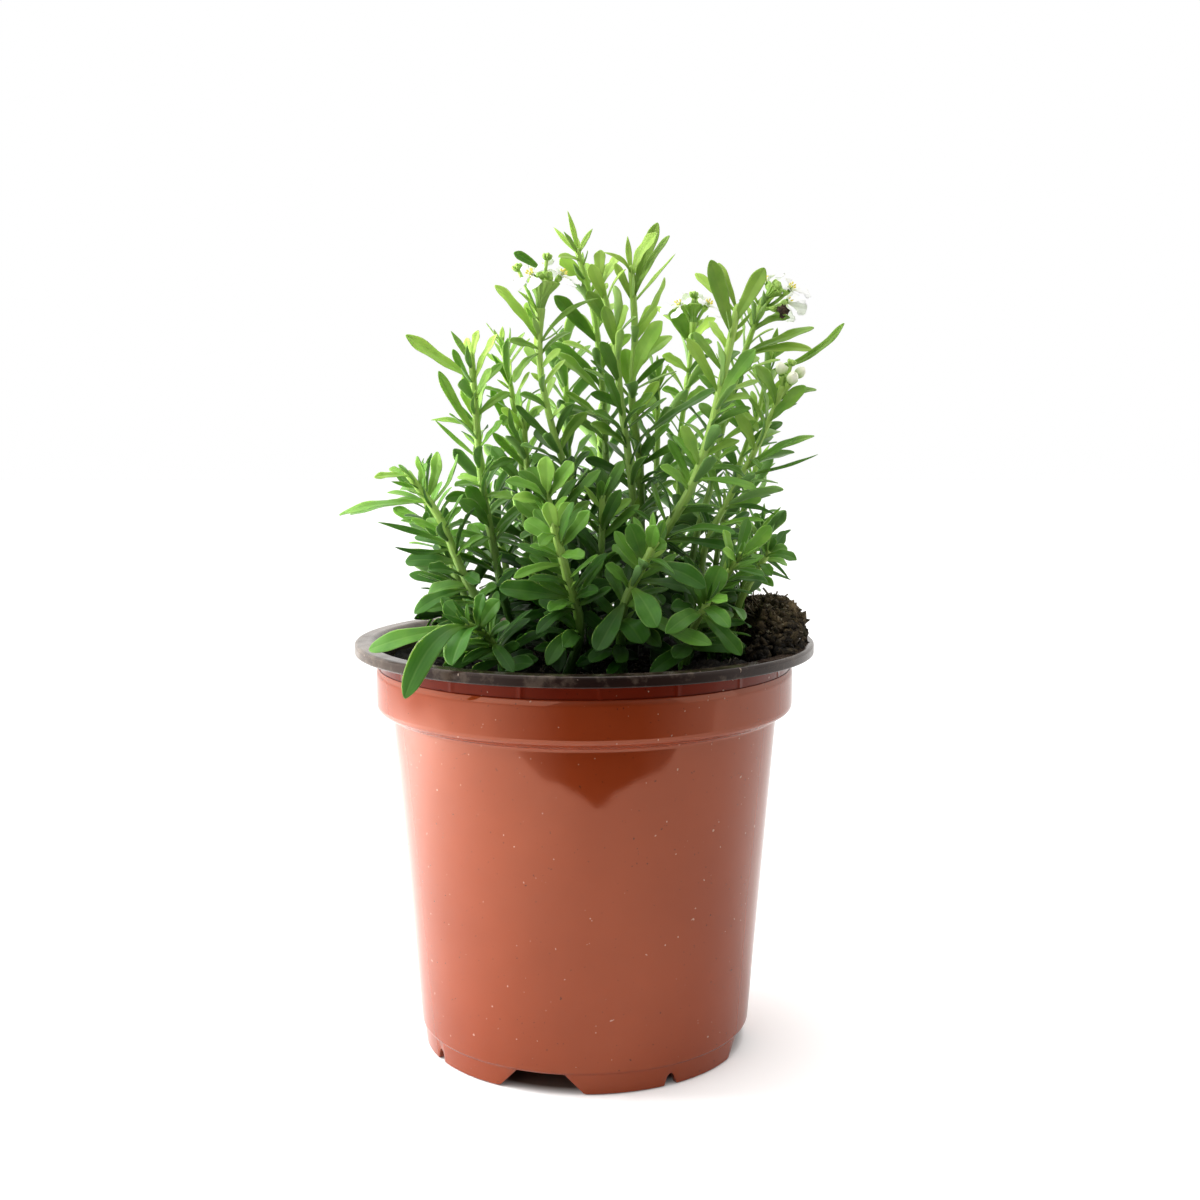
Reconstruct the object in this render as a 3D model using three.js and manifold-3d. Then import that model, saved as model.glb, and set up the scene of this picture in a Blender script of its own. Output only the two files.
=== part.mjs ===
// Candytuft growing in a thin plastic nursery pot.
// Millimetres, +Z up. The origin is on the ground, on the pot's own axis; the front is -Y.

import * as THREE from "three";
import { mergeVertices } from "three/addons/utils/BufferGeometryUtils.js";
import Module from "manifold-3d";

const wasm = await Module();
wasm.setup();

// Pot
const POT_SIDES = 24;
const POT_TURN = 4;
const WALL = 1.2;
const RIM_TOP = 116.1;
const RIM_RADIUS = 65;
const RIM_FLANGE = 3;
const LIP_RADIUS = 60.2;
const LIP_LOW = 113.4;
const COLLAR_TOP = 109;
const COLLAR_BEVEL = 0.4;
const COLLAR_BOTTOM = 97.5;
const COLLAR_RADIUS = 59.1;
const BAND_RADIUS = 58.3;
const BODY_TOP_RADIUS = 54.7;
const BODY_TOP = 95.5;
const SHOULDER_LOW = 94.5;
const SHOULDER_HIGH = 98.1;
const STEP_HEIGHT = 5.7;
const STEP_RADIUS = 47.5;
const STEP_DEPTH = 0.6;
const FOOT_RADIUS = 46.3;
const FOOT_WALL = 1.8;
const FLOOR_TOP = 7.4;
const FLOOR_UNDERSIDE = 6.2;
const FOOT_NOTCHES = 4;
const WIDE_NOTCH_TURN = -14.5;
const WIDE_NOTCH_BOTTOM = 24;
const WIDE_NOTCH_TOP = 13.3;
const WIDE_NOTCH_HEIGHT = 5.9;
const SMALL_NOTCH_TURN = 30.5;
const SMALL_NOTCH_WIDTH = 3.8;
const SMALL_NOTCH_HEIGHT = 3.2;
const SMALL_NOTCH_SPRING = 1.6;
const SMALL_NOTCH_CROWN = 1.9;
const FOOT_CUT_DEPTH = 8;
const FOOT_CUT_INNER = 4.8;
const CUT_OVER = 1;
const DRAIN_HOLE_RADIUS = 4;
const DRAIN_HOLE_RING = 26;
const DRAIN_HOLE_SIDES = 8;

// Soil
const GAP = 0.3;
const SOIL_LEVEL = 109.6;
const SOIL_RINGS = [1, 0.9, 0.72, 0.44, 0];
const STEM_DEPTH = 6;
const STEM_STRAIGHT = 1;
const HOLE_ROOM = 0.95;
const HOLE_SIDES = 5;
const HOLE_OVER = 12;
// Each heap of soil: where its middle is, how high it rises and how far it reaches
const HEAPS = [[50, 8, 16.5, 12], [38, -36, 5.5, 14]];
// Each ripple of the surface: its height, how fast it turns along x and y, and where it starts
const RIPPLES = [[0.25, 0.55, 0.5, 0.6], [0.25, 0.55, -0.5, 2], [0.35, 1.1, -0.9, 0]];

// Leaves: how far up the blade each ring of its outline stands, and how wide it is there as a share
// of its greatest width. Narrow young leaves are straps, and the others are shaped like a spoon.
const FORMS = [
  { from: 0, rings: [0, 0.55], outline: [0.6, 1] },
  { from: 2.1, rings: [0, 0.42, 0.8], outline: [0.28, 0.8, 1] },
  { from: 5.1, rings: [0, 0.34, 0.66, 0.88], outline: [0.24, 0.58, 1, 0.84] },
];
const BLADE_RISE = 0.3;
const BLADE_KEEL = 0.55;
const ROOT_HALF = 0.26;
const ROOT_RISE = 0.2;
const ROOT_KEEL = 0.36;
const ROOT_STEP = 0.25;
const TOP_ROOT = 1.4;
// Leaves turn their faces to the light: those that show to the front, and the others outwards
const FRONT_LIGHT = [-0.2, -1, 0.45];
const FRONT_TURN = 1.6;
const OUTWARD_TURN = 0.9;
const GOLDEN_TURN = 137.5;
const LEAF_ROLL = 14;
const LEAF_TWIST = 16;
// A shown leaf may shift its tip a little, or shorten, to keep clear
const SHOWN_SHIFTS = [[0, 0, 0], [0, 3, 0], [0, -3, 0], [0, 6, 0], [0, -6, 0], [0, 0, 2], [0, 0, -2],
  [0, 9, 0], [0, -9, 0], [0, 5, 2], [0, -5, 2], [2, 0, 0], [-2, 0, 0]];
const SHOWN_SCALES = [1, 0.86, 0.72];
// A leaf by rule may swing round the stem, tilt and shorten to keep clear
const RULE_SWINGS = [0, 24, -24, 48, -48, 75, -75, 110, -110, 150, -150];
const RULE_TILTS = [0, -14, 12];
const RULE_SCALES = [1, 0.84, 0.7];
const RULE_START = 0.12;
const RULE_END = 0.99;
const LEAN_LOW = 76;
const LEAN_HIGH = 26;
const LENGTH_LOW = 20;
const LENGTH_HIGH = 13;
const WIDTH_LOW = 4.8;
const WIDTH_HIGH = 3.6;
const ARCH_LOW = 0.14;
const ARCH_HIGH = 0.04;
const LEAN_SPREAD = [-6, 6];
const LENGTH_SPREAD = [0.86, 1.12];
const WIDTH_SPREAD = [0.88, 1.12];
const ARCH_SPREAD = [0.6, 1.5];
const RULE_DRAWS = 100;

// Stems
const PATH_STEPS = 8;
const STEM_SIDES = 4;
const RING_STEP = 17;
const STEM_TAPER = 0.76;
const STALK_START = 0.97;
const STALK_STEPS = 2;
const STALK_BEND = 0.45;
const FLOWER_BACK = 2.8;
const BUD_STRETCH = 1.25;
const BUD_CUP = 0.8;
const BUD_POINT = 0.3;
const BUD_LIFT = 2;
const BUD_SIDES = 6;
const BUD_RINGS = 4;

// Room kept between the blades and stems of two plants' nodes
const SAMPLE_STEP = 1.25;
const BLADE_ROOM = 1.7;
const OWN_ROOM = 1.15;
const STEM_ROOM = 1.25;
const RIM_ROOM = 1.2;
const ROUND_ROOM = 0.4;
const SAMPLE_START = 0.12;
const OWN_FREE_FROM = 0.32;
const CELL = 4;
const CELLS = 128;
const REACH_X = 74;
const REACH_Y = 65;

// Each leafy stem: its radius, where it leaves the soil, the points that it grows through, how many
// leaves stand round it by rule, and the leaves that show by themselves, each with how far up the
// stem it sits, the offset of its tip, its width and how strongly it arches.
const STEMS = [
  { name: "leafy_stem_01", radius: 1.1, base: [2, -6], by_rule: 3,
    path: [[-1, -8, 145], [-4, -9, 161], [-7, -10, 170], [-10, -11, 181], [-12, -11, 193], [-12, -10, 208]],
    leaves: [[0.91, -12, -4, 15, 3.9, 0.05], [0.9, -4, 7, 12, 3.4, 0.05], [0.89, -8, -7, 2, 3.3, 0.05],
      [0.9, 16, 4, 13, 1.8, 0.16], [0.88, -7, -5, -8, 3, 0.16], [0.63, -11, -4, 10, 3, -0.05],
      [0.69, 4, -8, 4, 3, 0.05]] },
  { name: "leafy_stem_02", radius: 1.2, base: [-16, -9], by_rule: 2,
    path: [[-22, -12, 128], [-24, -12, 138], [-26, -11, 148], [-28, -10, 159], [-29, -9, 170],
      [-30, -8, 181], [-31, -8, 189], [-31, -8, 196]],
    leaves: [[0.92, -18, -3, 12, 4.2, -0.04], [0.97, -6, 4, 9, 1.8, 0.03], [0.97, 2, -1, 9, 2.6, 0.03],
      [0.96, -2, 4, 8, 2.6, 0.03], [0.9, 7, -3, 14, 3.8, 0.04], [0.89, -6, 4, 11, 2.2, -0.04],
      [0.74, -10, -6, 18, 2.8, -0.08], [0.79, -4, -2, 9, 2.8, 0.03], [0.78, -9, 5, 8, 1.7, 0.03],
      [0.77, -13, 3, 2, 1.8, 0.08], [0.67, -13, 2, 11, 1.5, -0.06], [0.8, 9, 6, 7, 2.8, 0.06],
      [0.7, 7, -5, 8, 3.2, 0.04], [0.58, -7, -8, 1, 3.4, 0.08], [0.6, -7, 4, 1, 2.6, 0.05],
      [0.61, 4, -5, 6, 3.4, 0.03], [0.62, 9, 6, 4, 3.2, 0.1], [0.45, -8, -7, 8, 4.6, 0.12],
      [0.47, -6, -1, 10, 4.4, 0.1], [0.55, 8, -6, 0, 3.4, 0.1], [0.42, -5, -6, -2, 4.2, 0.1]] },
  { name: "leafy_stem_03", radius: 0.9, base: [-9, 8], by_rule: 3,
    path: [[-16, 12, 137], [-18, 12, 157], [-19, 11, 176], [-21, 10, 186], [-22, 10, 194], [-24, 10, 201]],
    leaves: [[0.9, -7, 3, 5, 1.8, 0.05], [0.85, -5, -4, 9, 2, 0.03], [0.81, -8, -3, 3, 2.2, 0.08],
      [0.77, -3, -5, -4, 4, 0.1], [0.65, -8, -4, 17, 3.4, -0.05], [0.72, 8, 3, 6, 3, 0.05],
      [0.67, -4, -5, -2, 2.2, 0.1], [0.97, 0, 2, 6, 1.8, 0.02]] },
  { name: "leafy_stem_04", radius: 1.1, base: [6, 4], by_rule: 3,
    path: [[6, 6, 143], [6, 8, 169], [5, 6, 186], [4, 5, 199], [2, 4, 211], [1, 3, 221], [-2, 3, 225]],
    leaves: [[1, -3, 0, 12, 1.6, -0.04], [0.99, -7, 2, 8, 1.5, 0.03], [1, -4, -3, 6, 1.9, 0.03],
      [1, 4, -1, 7, 1.9, 0.03], [0.99, -1, 5, 6, 1.7, 0], [0.97, -6, -5, 1, 2.6, 0.1],
      [0.89, -8, -6, 10, 4.6, 0.04], [0.77, -12, -5, 13, 4.4, 0.04], [0.64, -13, -9, 12, 5.2, 0.06],
      [0.66, -15, -3, 13, 4, 0.08], [0.58, -11, -5, 8, 3, 0.05], [0.85, 4, 6, 8, 3, 0.05],
      [0.53, -10, -8, 7, 3.6, 0.08]] },
  { name: "leafy_stem_05", radius: 1.2, base: [14, 4], by_rule: 3,
    path: [[16, 6, 143], [16, 4, 161], [14, 1, 178], [13, 1, 189], [14, 0, 200], [14, 0, 211], [13, 0, 220]],
    leaves: [[0.93, 7, 2, 20, 3.6, 0.02], [0.98, 7, -5, 11, 4.6, 0.1], [0.92, 10, -1, 17, 3.2, 0.04],
      [0.91, 12, 5, 14, 1.5, -0.03], [1, -1, 2, 10, 1.8, 0], [0.98, -8, -3, 6, 1.5, 0.2],
      [0.91, -5, -3, 11, 2.4, 0.03], [0.7, 8, -7, 18, 6, 0.06], [0.67, -2, -8, 14, 5.2, 0.04],
      [0.73, 11, 4, 11, 4.6, 0.08], [0.56, 23, -9, 15, 4.6, 0.05], [0.81, 6, 6, 11, 3.6, 0.05],
      [0.62, 6, 7, 6, 3.6, 0.06], [0.49, 4, -6, 9, 4.2, 0.04]] },
  { name: "leafy_stem_06", radius: 1.2, base: [10, -5], by_rule: 3,
    path: [[14, -8, 145], [13, -7, 161], [11, -5, 178], [9, -3, 189], [8, -1, 203], [6, 0, 212],
      [4, 1, 218]],
    leaves: [[0.98, 0, 2, 9, 3.4, 0.03], [0.93, -4, -3, 10, 3.8, 0.03], [0.97, 5, -2, 9, 3.6, 0.05],
      [0.85, -7, -6, 11, 4, 0.04], [0.81, -3, -7, 11, 3.6, 0.02], [0.72, -5, -6, 11, 4, 0.05],
      [0.82, 3, 5, 11, 3.6, 0.05], [0.68, -10, -8, 8, 4.2, 0.08], [0.63, -5, -9, 12, 3.8, 0.03],
      [0.55, -10, -8, 7, 4.6, 0.08], [0.61, 8, 5, 9, 4, 0.06]] },
  { name: "leafy_stem_07", radius: 0.9, base: [14, 24], by_rule: 3,
    path: [[27, 28, 142], [28, 28, 163], [29, 28, 183], [31, 28, 192], [32, 28, 206]],
    leaves: [[0.92, 7, -3, 9, 4.4, 0.1], [0.93, -6, -4, 12, 5, 0.06], [0.95, -11, 3, 10, 3, 0.08],
      [0.9, 6, -6, 4, 3.4, 0.1], [0.85, -8, -4, 5, 3.6, 0.08], [0.82, 10, 4, 1, 1.6, 0.2],
      [0.77, -7, -3, 3, 3.2, 0.1], [0.75, 6, -5, 5, 3.8, 0.06]] },
  { name: "leafy_stem_08", radius: 1.4, base: [20, -12], by_rule: 2,
    path: [[19, -16, 139], [21, -17, 145], [26, -17, 153], [30, -16, 162], [33, -14, 170], [36, -12, 181],
      [38, -11, 189], [39, -10, 197], [41, -9, 205], [42, -9, 209]],
    leaves: [[0.92, -6, -3, 20, 4.8, 0.03], [0.98, -11, 5, 11, 2.8, 0.05], [0.99, -5, 2, 13, 2.4, 0.08],
      [0.95, 8, -2, 15, 4.4, 0.03], [0.88, -5, 5, 8, 3, 0.05], [0.76, -9, -4, 15, 3.6, 0.03],
      [0.73, 10, -7, 15, 4.6, 0.03], [0.82, -8, 5, 11, 2.6, 0.06], [0.67, 6, -8, 6, 4, 0.1],
      [0.62, 5, 6, 3, 3.8, 0.1], [0.56, -5, -6, 11, 4.8, 0.04], [0.52, 17, -4, -2, 3.4, 0.1],
      [0.54, 13, 5, -3, 3, 0.25], [0.34, 23, -9, -3, 4.4, 0.08], [0.49, -8, -5, 7, 3.6, 0.1],
      [0.58, 11, 5, 5, 3, 0.08]] },
  { name: "leafy_stem_09", radius: 1, base: [30, 2], by_rule: 3,
    path: [[30, 0, 138], [35, 0, 155], [38, 1, 172], [42, 1, 188], [45, 1, 197], [47, 1, 204], [50, 1, 211]],
    leaves: [[0.85, 19, -3, 7, 4.4, 0.03], [0.84, 19, -5, 2, 3.4, 0.08], [0.92, 10, -5, 3, 2.8, 0.1],
      [0.91, 10, 3, 8, 3, 0.04], [0.97, 7, -2, 7, 3, 0.14], [0.8, 6, 5, 4, 3, 0.05],
      [0.77, 4, -6, 4, 3.4, 0.08], [0.7, 9, 4, -7, 2.6, 0.15], [0.63, -6, 5, 8, 3.4, 0.06],
      [0.54, 6, -5, 5, 3, 0.1]] },
  { name: "leafy_stem_10", radius: 1, base: [36, -6], by_rule: 3,
    path: [[32, -10, 137], [38, -10, 152], [44, -9, 164], [48, -8, 171], [50, -8, 177], [53, -7, 182],
      [55, -7, 187]],
    leaves: [[0.87, 10, -3, 10, 4.6, 0.04], [0.95, 11, 2, 3, 2.8, 0.08], [0.71, 19, 3, 8, 2.4, 0.1],
      [0.69, 14, -4, 9, 3.4, 0.04], [0.67, 21, -2, 6, 1.5, -0.06], [0.61, 14, -6, 10, 3.8, 0.02],
      [0.93, -6, -5, 11, 4.2, 0.12], [0.76, -6, -5, 11, 4.2, 0.08], [0.85, -7, 2, 11, 1.6, 0.1],
      [0.73, 2, -9, -2, 2.6, 0.1], [0.54, 14, -5, -1, 1.8, 0.15]] },
  { name: "leafy_stem_11", radius: 0.9, base: [38, 8], by_rule: 3,
    path: [[38, 10, 137], [43, 10, 160], [48, 9, 175], [51, 8, 185], [53, 8, 193], [53, 8, 197]],
    leaves: [[0.93, 19.6, -15, 13, 2.8, -0.1], [0.96, 4, 4, 5, 2, 0.03], [0.87, -2, 6, 7, 2.6, 0.06],
      [0.89, 7, 5, 6, 2, 0.05], [0.76, 8, 6, 7, 3, 0.05], [0.66, 11, 5, 7, 3, 0.08],
      [0.57, -4, 6, 8, 3.4, 0.06]] },
  { name: "leafy_stem_12", radius: 1.3, base: [-22, -16], by_rule: 1,
    path: [[-26, -20, 123], [-31, -20, 132], [-35, -19, 142], [-39, -18, 151], [-43, -17, 159],
      [-48, -17, 164]],
    leaves: [[0.83, -24, -3, -3, 4.4, 0.06], [0.99, -9, -5, 0, 2.4, 0.06], [0.99, -6, 4, 2, 2.2, 0.05],
      [0.87, -1, -5, 11, 3.8, -0.06], [0.85, 3, 2, 13, 3.8, -0.08], [0.82, 8, -4, 14, 2.8, -0.1],
      [0.62, -20, 2, 6, 1.8, 0.02], [0.6, -15, -5, 1, 2, -0.12], [0.53, -15, 5, 0, 4.6, 0.06],
      [0.46, -9, -8, 3, 6.2, 0.08], [0.4, -15, -5, -6, 5.2, 0.1], [0.42, -12, 5, -4, 4.8, 0.12],
      [0.56, 8, -5, 6, 4, 0.1], [0.69, 7, 3, 2, 3.4, 0.1], [0.47, 5, -9, -1, 3.6, 0.1],
      [0.35, 6, -6, 4, 4.2, 0.1]] },
  { name: "leafy_stem_13", radius: 1.2, base: [-20, -28], by_rule: 2,
    path: [[-25, -34, 121], [-28, -39, 124], [-30, -42, 126]],
    leaves: [[0.95, -27, 4, -7, 5.2, 0.14], [0.87, -16, -19, -15, 6.6, 0.3], [0.7, -6, -19, -7, 8, 0.24],
      [0.96, -12, 2, -3, 2.4, 0.1], [0.77, 6, -5, 9, 5, 0.05], [0.84, -8, 1, 7, 4.6, 0.1]] },
  { name: "leafy_stem_14", radius: 1.4, base: [-4, -24], by_rule: 3,
    path: [[-1, -30, 123], [-3, -33, 131], [-5, -35, 141], [-7, -36, 148], [-8, -36, 152]],
    leaves: [[0.84, 8, -3, 10, 4.4, -0.03], [0.92, -4, -8, -2, 3.6, 0.1], [0.8, 6, -8, 0, 4.6, 0.1],
      [0.74, -13, -4, -3, 2.8, 0.1], [0.53, -19, -4, 3, 6.4, 0.03], [0.49, -6, -8, -1, 5.2, 0.12],
      [0.52, 7, -6, 3, 4, 0.1], [0.46, -10, -6, -6, 3.6, 0.2], [0.94, -2, -3, 8, 4, 0.03],
      [0.86, -9, 3, 6, 4.6, 0.1], [0.95, 4, 3, 7, 3.8, 0.03]] },
  { name: "leafy_stem_15", radius: 1.2, base: [-8, -12], by_rule: 2,
    path: [[-6, -20, 135], [-7, -22, 147], [-9, -23, 155], [-10, -23, 159]],
    leaves: [[0.98, 0, -2, 11, 5.4, 0.03], [0.96, 7, -3, 10, 5.6, 0.05], [0.97, -5, 3, 8, 4.4, 0.04],
      [0.93, -8, -4, 9, 4.4, 0.08], [0.91, -11, -6, 8, 4, 0.12], [0.89, -10, -5, 4, 4.6, 0.15],
      [0.85, 13, 3, 13, 3.6, 0.04], [0.79, -9, -6, -2, 4.6, 0.12], [0.74, 9, 3, 10, 4, 0.06],
      [0.76, -6, -8, -2, 4.8, 0.15]] },
  { name: "leafy_stem_16", radius: 1.4, base: [10, -26], by_rule: 2,
    path: [[10, -32, 126], [12, -34, 133], [15, -35, 139], [17, -36, 144], [19, -36, 147]],
    leaves: [[0.82, -4, -3, 11, 5.6, 0.04], [0.93, 1, -3, 7, 4.4, 0.03], [0.93, 4, -6, 2, 3.8, 0.1],
      [0.81, 16, -5, -5, 5.8, 0.14], [0.86, 7, -8, -3, 2, 0.15], [0.68, 18, 2, -4, 5.2, 0.12],
      [0.65, 6, -12, -9, 6.4, 0.1], [0.54, 22, -10, -10, 4.8, -0.05], [0.55, -8, -10, -12, 6.2, 0.06],
      [0.4, 5, -18, -5, 8, 0.2], [0.36, 10, -14, -5, 4.4, 0.2], [0.76, -7, 5, 7, 4.8, 0.08],
      [0.63, -7, -4, 7, 4.4, 0.08]] },
  { name: "leafy_stem_17", radius: 1.1, base: [40, -6], by_rule: 3,
    path: [[42, -10, 123], [45, -12, 133], [49, -12, 140], [51, -12, 142]],
    leaves: [[0.94, 8, -6, 0, 3.4, 0.16], [1, 6, 2, 2, 3, 0.12], [0.98, 2, -2, 5, 3.6, 0.1],
      [0.94, -3, -5, 5, 3.4, 0.1], [0.87, 2, -9, -2, 3, 0.12], [0.92, 7, 5, -2, 2.4, 0.1],
      [0.73, 5, -7, -1, 3, 0.15], [0.84, -5, -6, 3, 3.4, 0.1]] },
  { name: "leafy_stem_18", radius: 0.9, base: [40, 12], by_rule: 3,
    path: [[45, 13, 126], [49, 13, 138], [51, 13, 147]],
    leaves: [[0.73, 10, -5, -7, 1.5, 0.12], [0.58, 12, -3, -3, 1.5, 0.06], [0.89, 3, -4, 2, 2.6, 0.08],
      [0.96, -1, 2, 5, 2.4, 0.05], [0.89, -3, 4, 4, 2.8, 0.08], [0.77, 5, 5, 2, 2, 0.08]] },
  { name: "leafy_stem_19", radius: 1.2, base: [27, -25], by_rule: 1,
    path: [[28, -30, 120], [31, -32, 127], [33, -33, 131]],
    leaves: [[0.81, 10, -8, -12, 4.6, 0.1], [0.94, 4, 2, 10, 6.4, 0.06], [0.97, 5, -8, 2, 4.2, 0.12],
      [0.87, 6, -13, -3, 4.4, 0.15], [0.77, -8, -6, 3, 5, 0.12], [0.93, -4, -4, 7, 4.8, 0.08],
      [0.81, -10, -12, -3, 4.8, 0.15]] },
  { name: "leafy_stem_20", radius: 1, base: [-2, 16], by_rule: 13,
    path: [[-3, 18, 140], [-5, 20, 170], [-6, 21, 202]], leaves: [] },
  { name: "leafy_stem_21", radius: 1.1, base: [6, 30], by_rule: 10,
    path: [[6, 36, 135], [5, 42, 155], [4, 46, 176]], leaves: [] },
  { name: "leafy_stem_22", radius: 1.1, base: [22, 34], by_rule: 9,
    path: [[27, 40, 132], [32, 45, 150], [35, 47, 168]], leaves: [] },
  { name: "leafy_stem_23", radius: 1.1, base: [-20, 20], by_rule: 9,
    path: [[-24, 26, 135], [-29, 31, 155], [-33, 34, 172]], leaves: [] },
  { name: "leafy_stem_24", radius: 1.1, base: [34, 24], by_rule: 9,
    path: [[41, 29, 132], [48, 33, 150], [52, 35, 164]], leaves: [] },
  { name: "leafy_stem_25", radius: 1.1, base: [-28, -2], by_rule: 5,
    path: [[-35, 2, 130], [-42, 5, 146], [-47, 7, 158]], leaves: [[0.93, -23.8, 15, -5, 3.8, 0.05]] },
  { name: "leafy_stem_26", radius: 1.1, base: [-12, 32], by_rule: 9,
    path: [[-16, 39, 132], [-21, 45, 148], [-24, 48, 162]], leaves: [] },
  { name: "leafy_stem_27", radius: 1, base: [14, 14], by_rule: 11,
    path: [[19, 17, 140], [21, 18, 165], [21, 17, 190]], leaves: [] },
  { name: "leafy_stem_28", radius: 1.2, base: [-32, 16], by_rule: 6,
    path: [[-36, 22, 124], [-41, 27, 134], [-44, 30, 142]], leaves: [] },
  { name: "leafy_stem_29", radius: 1.2, base: [6, 44], by_rule: 6,
    path: [[8, 49, 126], [10, 53, 136], [11, 55, 144]], leaves: [] },
  { name: "leafy_stem_30", radius: 1, base: [-10, 0], by_rule: 11,
    path: [[-14, -1, 140], [-16, 0, 162], [-17, 0, 178]], leaves: [] },
  { name: "leafy_stem_31", radius: 1.1, base: [1, -15], by_rule: 11,
    path: [[3, -18, 130], [5, -20, 146], [5, -21, 158]], leaves: [] },
  { name: "leafy_stem_32", radius: 1.1, base: [28, -13], by_rule: 8,
    path: [[33, -19, 126], [39, -25, 136], [42, -29, 143]], leaves: [] },
];

// Open flowers: the stem that bears them, the offset of the flower's eye from the stem's tip, and
// the way that the flower faces
const FLOWERS = [
  { name: "flower_1", stem: 0, eye: [-2, -4, 9], faces: [-0.35, -0.75, 0.55] },
  { name: "flower_2", stem: 0, eye: [6, -2, 9], faces: [0.6, -0.35, 0.7] },
  { name: "flower_3", stem: 0, eye: [1, 5, 11], faces: [-0.1, 0.65, 0.75] },
  { name: "flower_4", stem: 8, eye: [7, -3, 3], faces: [0.55, -0.55, 0.6] },
  { name: "flower_5", stem: 8, eye: [1, 2, 5], faces: [-0.3, 0.2, 0.9] },
  { name: "flower_6", stem: 8, eye: [7, 6, 0], faces: [0.6, 0.7, 0.3] },
  { name: "flower_7", stem: 6, eye: [-4, -3, 5], faces: [-0.5, -0.6, 0.6] },
  { name: "flower_8", stem: 6, eye: [4, -2, 5], faces: [0.5, -0.5, 0.7] },
  { name: "flower_9", stem: 6, eye: [0, 5, 6], faces: [0, 0.7, 0.7] },
];

// Closed buds with white tips, and green ones that are part of their stem
const WHITE_BUDS = [
  { name: "white_bud_1", stem: 9, tip: [-1, -2, 5], radius: 1.5 },
  { name: "white_bud_2", stem: 9, tip: [2, -4, 2.5], radius: 1.6 },
  { name: "white_bud_3", stem: 9, tip: [4.5, 0, 4], radius: 1.5 },
  { name: "white_bud_4", stem: 9, tip: [0.5, 2.5, 4.5], radius: 1.3 },
];
const GREEN_BUDS = [
  { stem: 0, tip: [-6, 0, 11], radius: 1.3 },
  { stem: 0, tip: [2, 1, 14], radius: 1.2 },
  { stem: 8, tip: [4, 1, 3], radius: 1.2 },
  { stem: 9, tip: [2, -1, 6.5], radius: 1.1 },
  { stem: 6, tip: [0, 0, 8], radius: 1.2 },
];
const WITHERED = { name: "withered_flower", stem: 8, tip: [5, -5, -3], radius: 1.5, stretch: 1.7 };

// Flowers: four petals, two of them long on the outer side of the head. Each petal's rim is given as
// turns from its middle line and shares of its length, with a cleft between it and the one before.
const PETAL_TURNS = [34, 128, 232, 326];
const LONG_PETAL = 6.4;
const SHORT_PETAL = 4.2;
const PETAL_CLEFT = 1.5;
const PETAL_RIM = [[-27, 0.74], [-13, 1], [13, 1], [27, 0.74]];
const PETAL_LIFT = 0.2;
const PETAL_HALF = 0.3;
const HEART_DEPTH = 0.55;
const ANTHERS = 5;
const ANTHER_LOW = 0.75;
const ANTHER_HIGH = 1.7;
const ANTHER_OUT = 1.05;
const ANTHER_IN = 0.5;
const PEDICEL_RADIUS = 0.5;
const CALYX_RADIUS = 1.15;
const CALYX_LENGTH = 1.9;

// Seeded draws
const CHANCE_START = 2166136261;
const CHANCE_FACTORS = [16777619, 1540483477];
const CHANCE_SHIFTS = [13, 15];

// Corners closer than this are one corner, and distances under the next are none
const WELD = 1e-4;
const NEAR_ZERO = 1e-3;

const radians = THREE.MathUtils.degToRad;
const mix = THREE.MathUtils.lerp;

function vector(numbers) {
  return new THREE.Vector3(...numbers);
}

// A number from 0 to 1 that depends only on the whole numbers it is given
function chance(...keys) {
  let state = CHANCE_START;
  for (const key of keys) {
    state = Math.imul(state ^ key, CHANCE_FACTORS[0]);
    state ^= state >>> CHANCE_SHIFTS[0];
    state = Math.imul(state, CHANCE_FACTORS[1]);
    state ^= state >>> CHANCE_SHIFTS[1];
  }
  return (state >>> 0) / 2 ** 32;
}

// Height of the soil's surface: nearly level, with crumbs, and heaped where the root ball stands up
function soilTop(x, y) {
  let height = SOIL_LEVEL;
  for (const [heapX, heapY, rise, reach] of HEAPS) {
    const away = Math.hypot(x - heapX, y - heapY) / reach;
    height += rise * Math.exp(-away * away * away);
  }
  for (const [rise, alongX, alongY, start] of RIPPLES) {
    height += rise * Math.sin(x * alongX + y * alongY + start);
  }
  return height;
}

// Solids

function solid(geometry) {
  geometry.deleteAttribute("normal");
  geometry.deleteAttribute("uv");
  const welded = mergeVertices(geometry, WELD);
  const index = welded.getIndex().array;
  const faces = [];
  for (let i = 0; i < index.length; i += 3) {
    const [a, b, c] = [index[i], index[i + 1], index[i + 2]];
    if (a !== b && b !== c && c !== a) faces.push(a, b, c);
  }
  return new wasm.Manifold(new wasm.Mesh({
    numProp: 3,
    vertProperties: Float32Array.from(welded.getAttribute("position").array),
    triVerts: Uint32Array.from(faces),
  }));
}

function joined(solids) {
  return solids.reduce((whole, piece) => whole.add(piece));
}

function meshOf(name, piece, material) {
  const { vertProperties, triVerts } = piece.getMesh();
  const geometry = new THREE.BufferGeometry();
  geometry.setAttribute("position", new THREE.BufferAttribute(vertProperties, 3));
  geometry.setIndex(new THREE.BufferAttribute(triVerts, 1));
  geometry.computeVertexNormals();
  const mesh = new THREE.Mesh(geometry, material);
  mesh.name = name;
  return mesh;
}

// Two directions square to a heading, steady along a stem
function sideways(heading) {
  const first = new THREE.Vector3(1, 0, 0).addScaledVector(heading, -heading.x).normalize();
  return [first, new THREE.Vector3().crossVectors(first, heading)];
}

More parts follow.
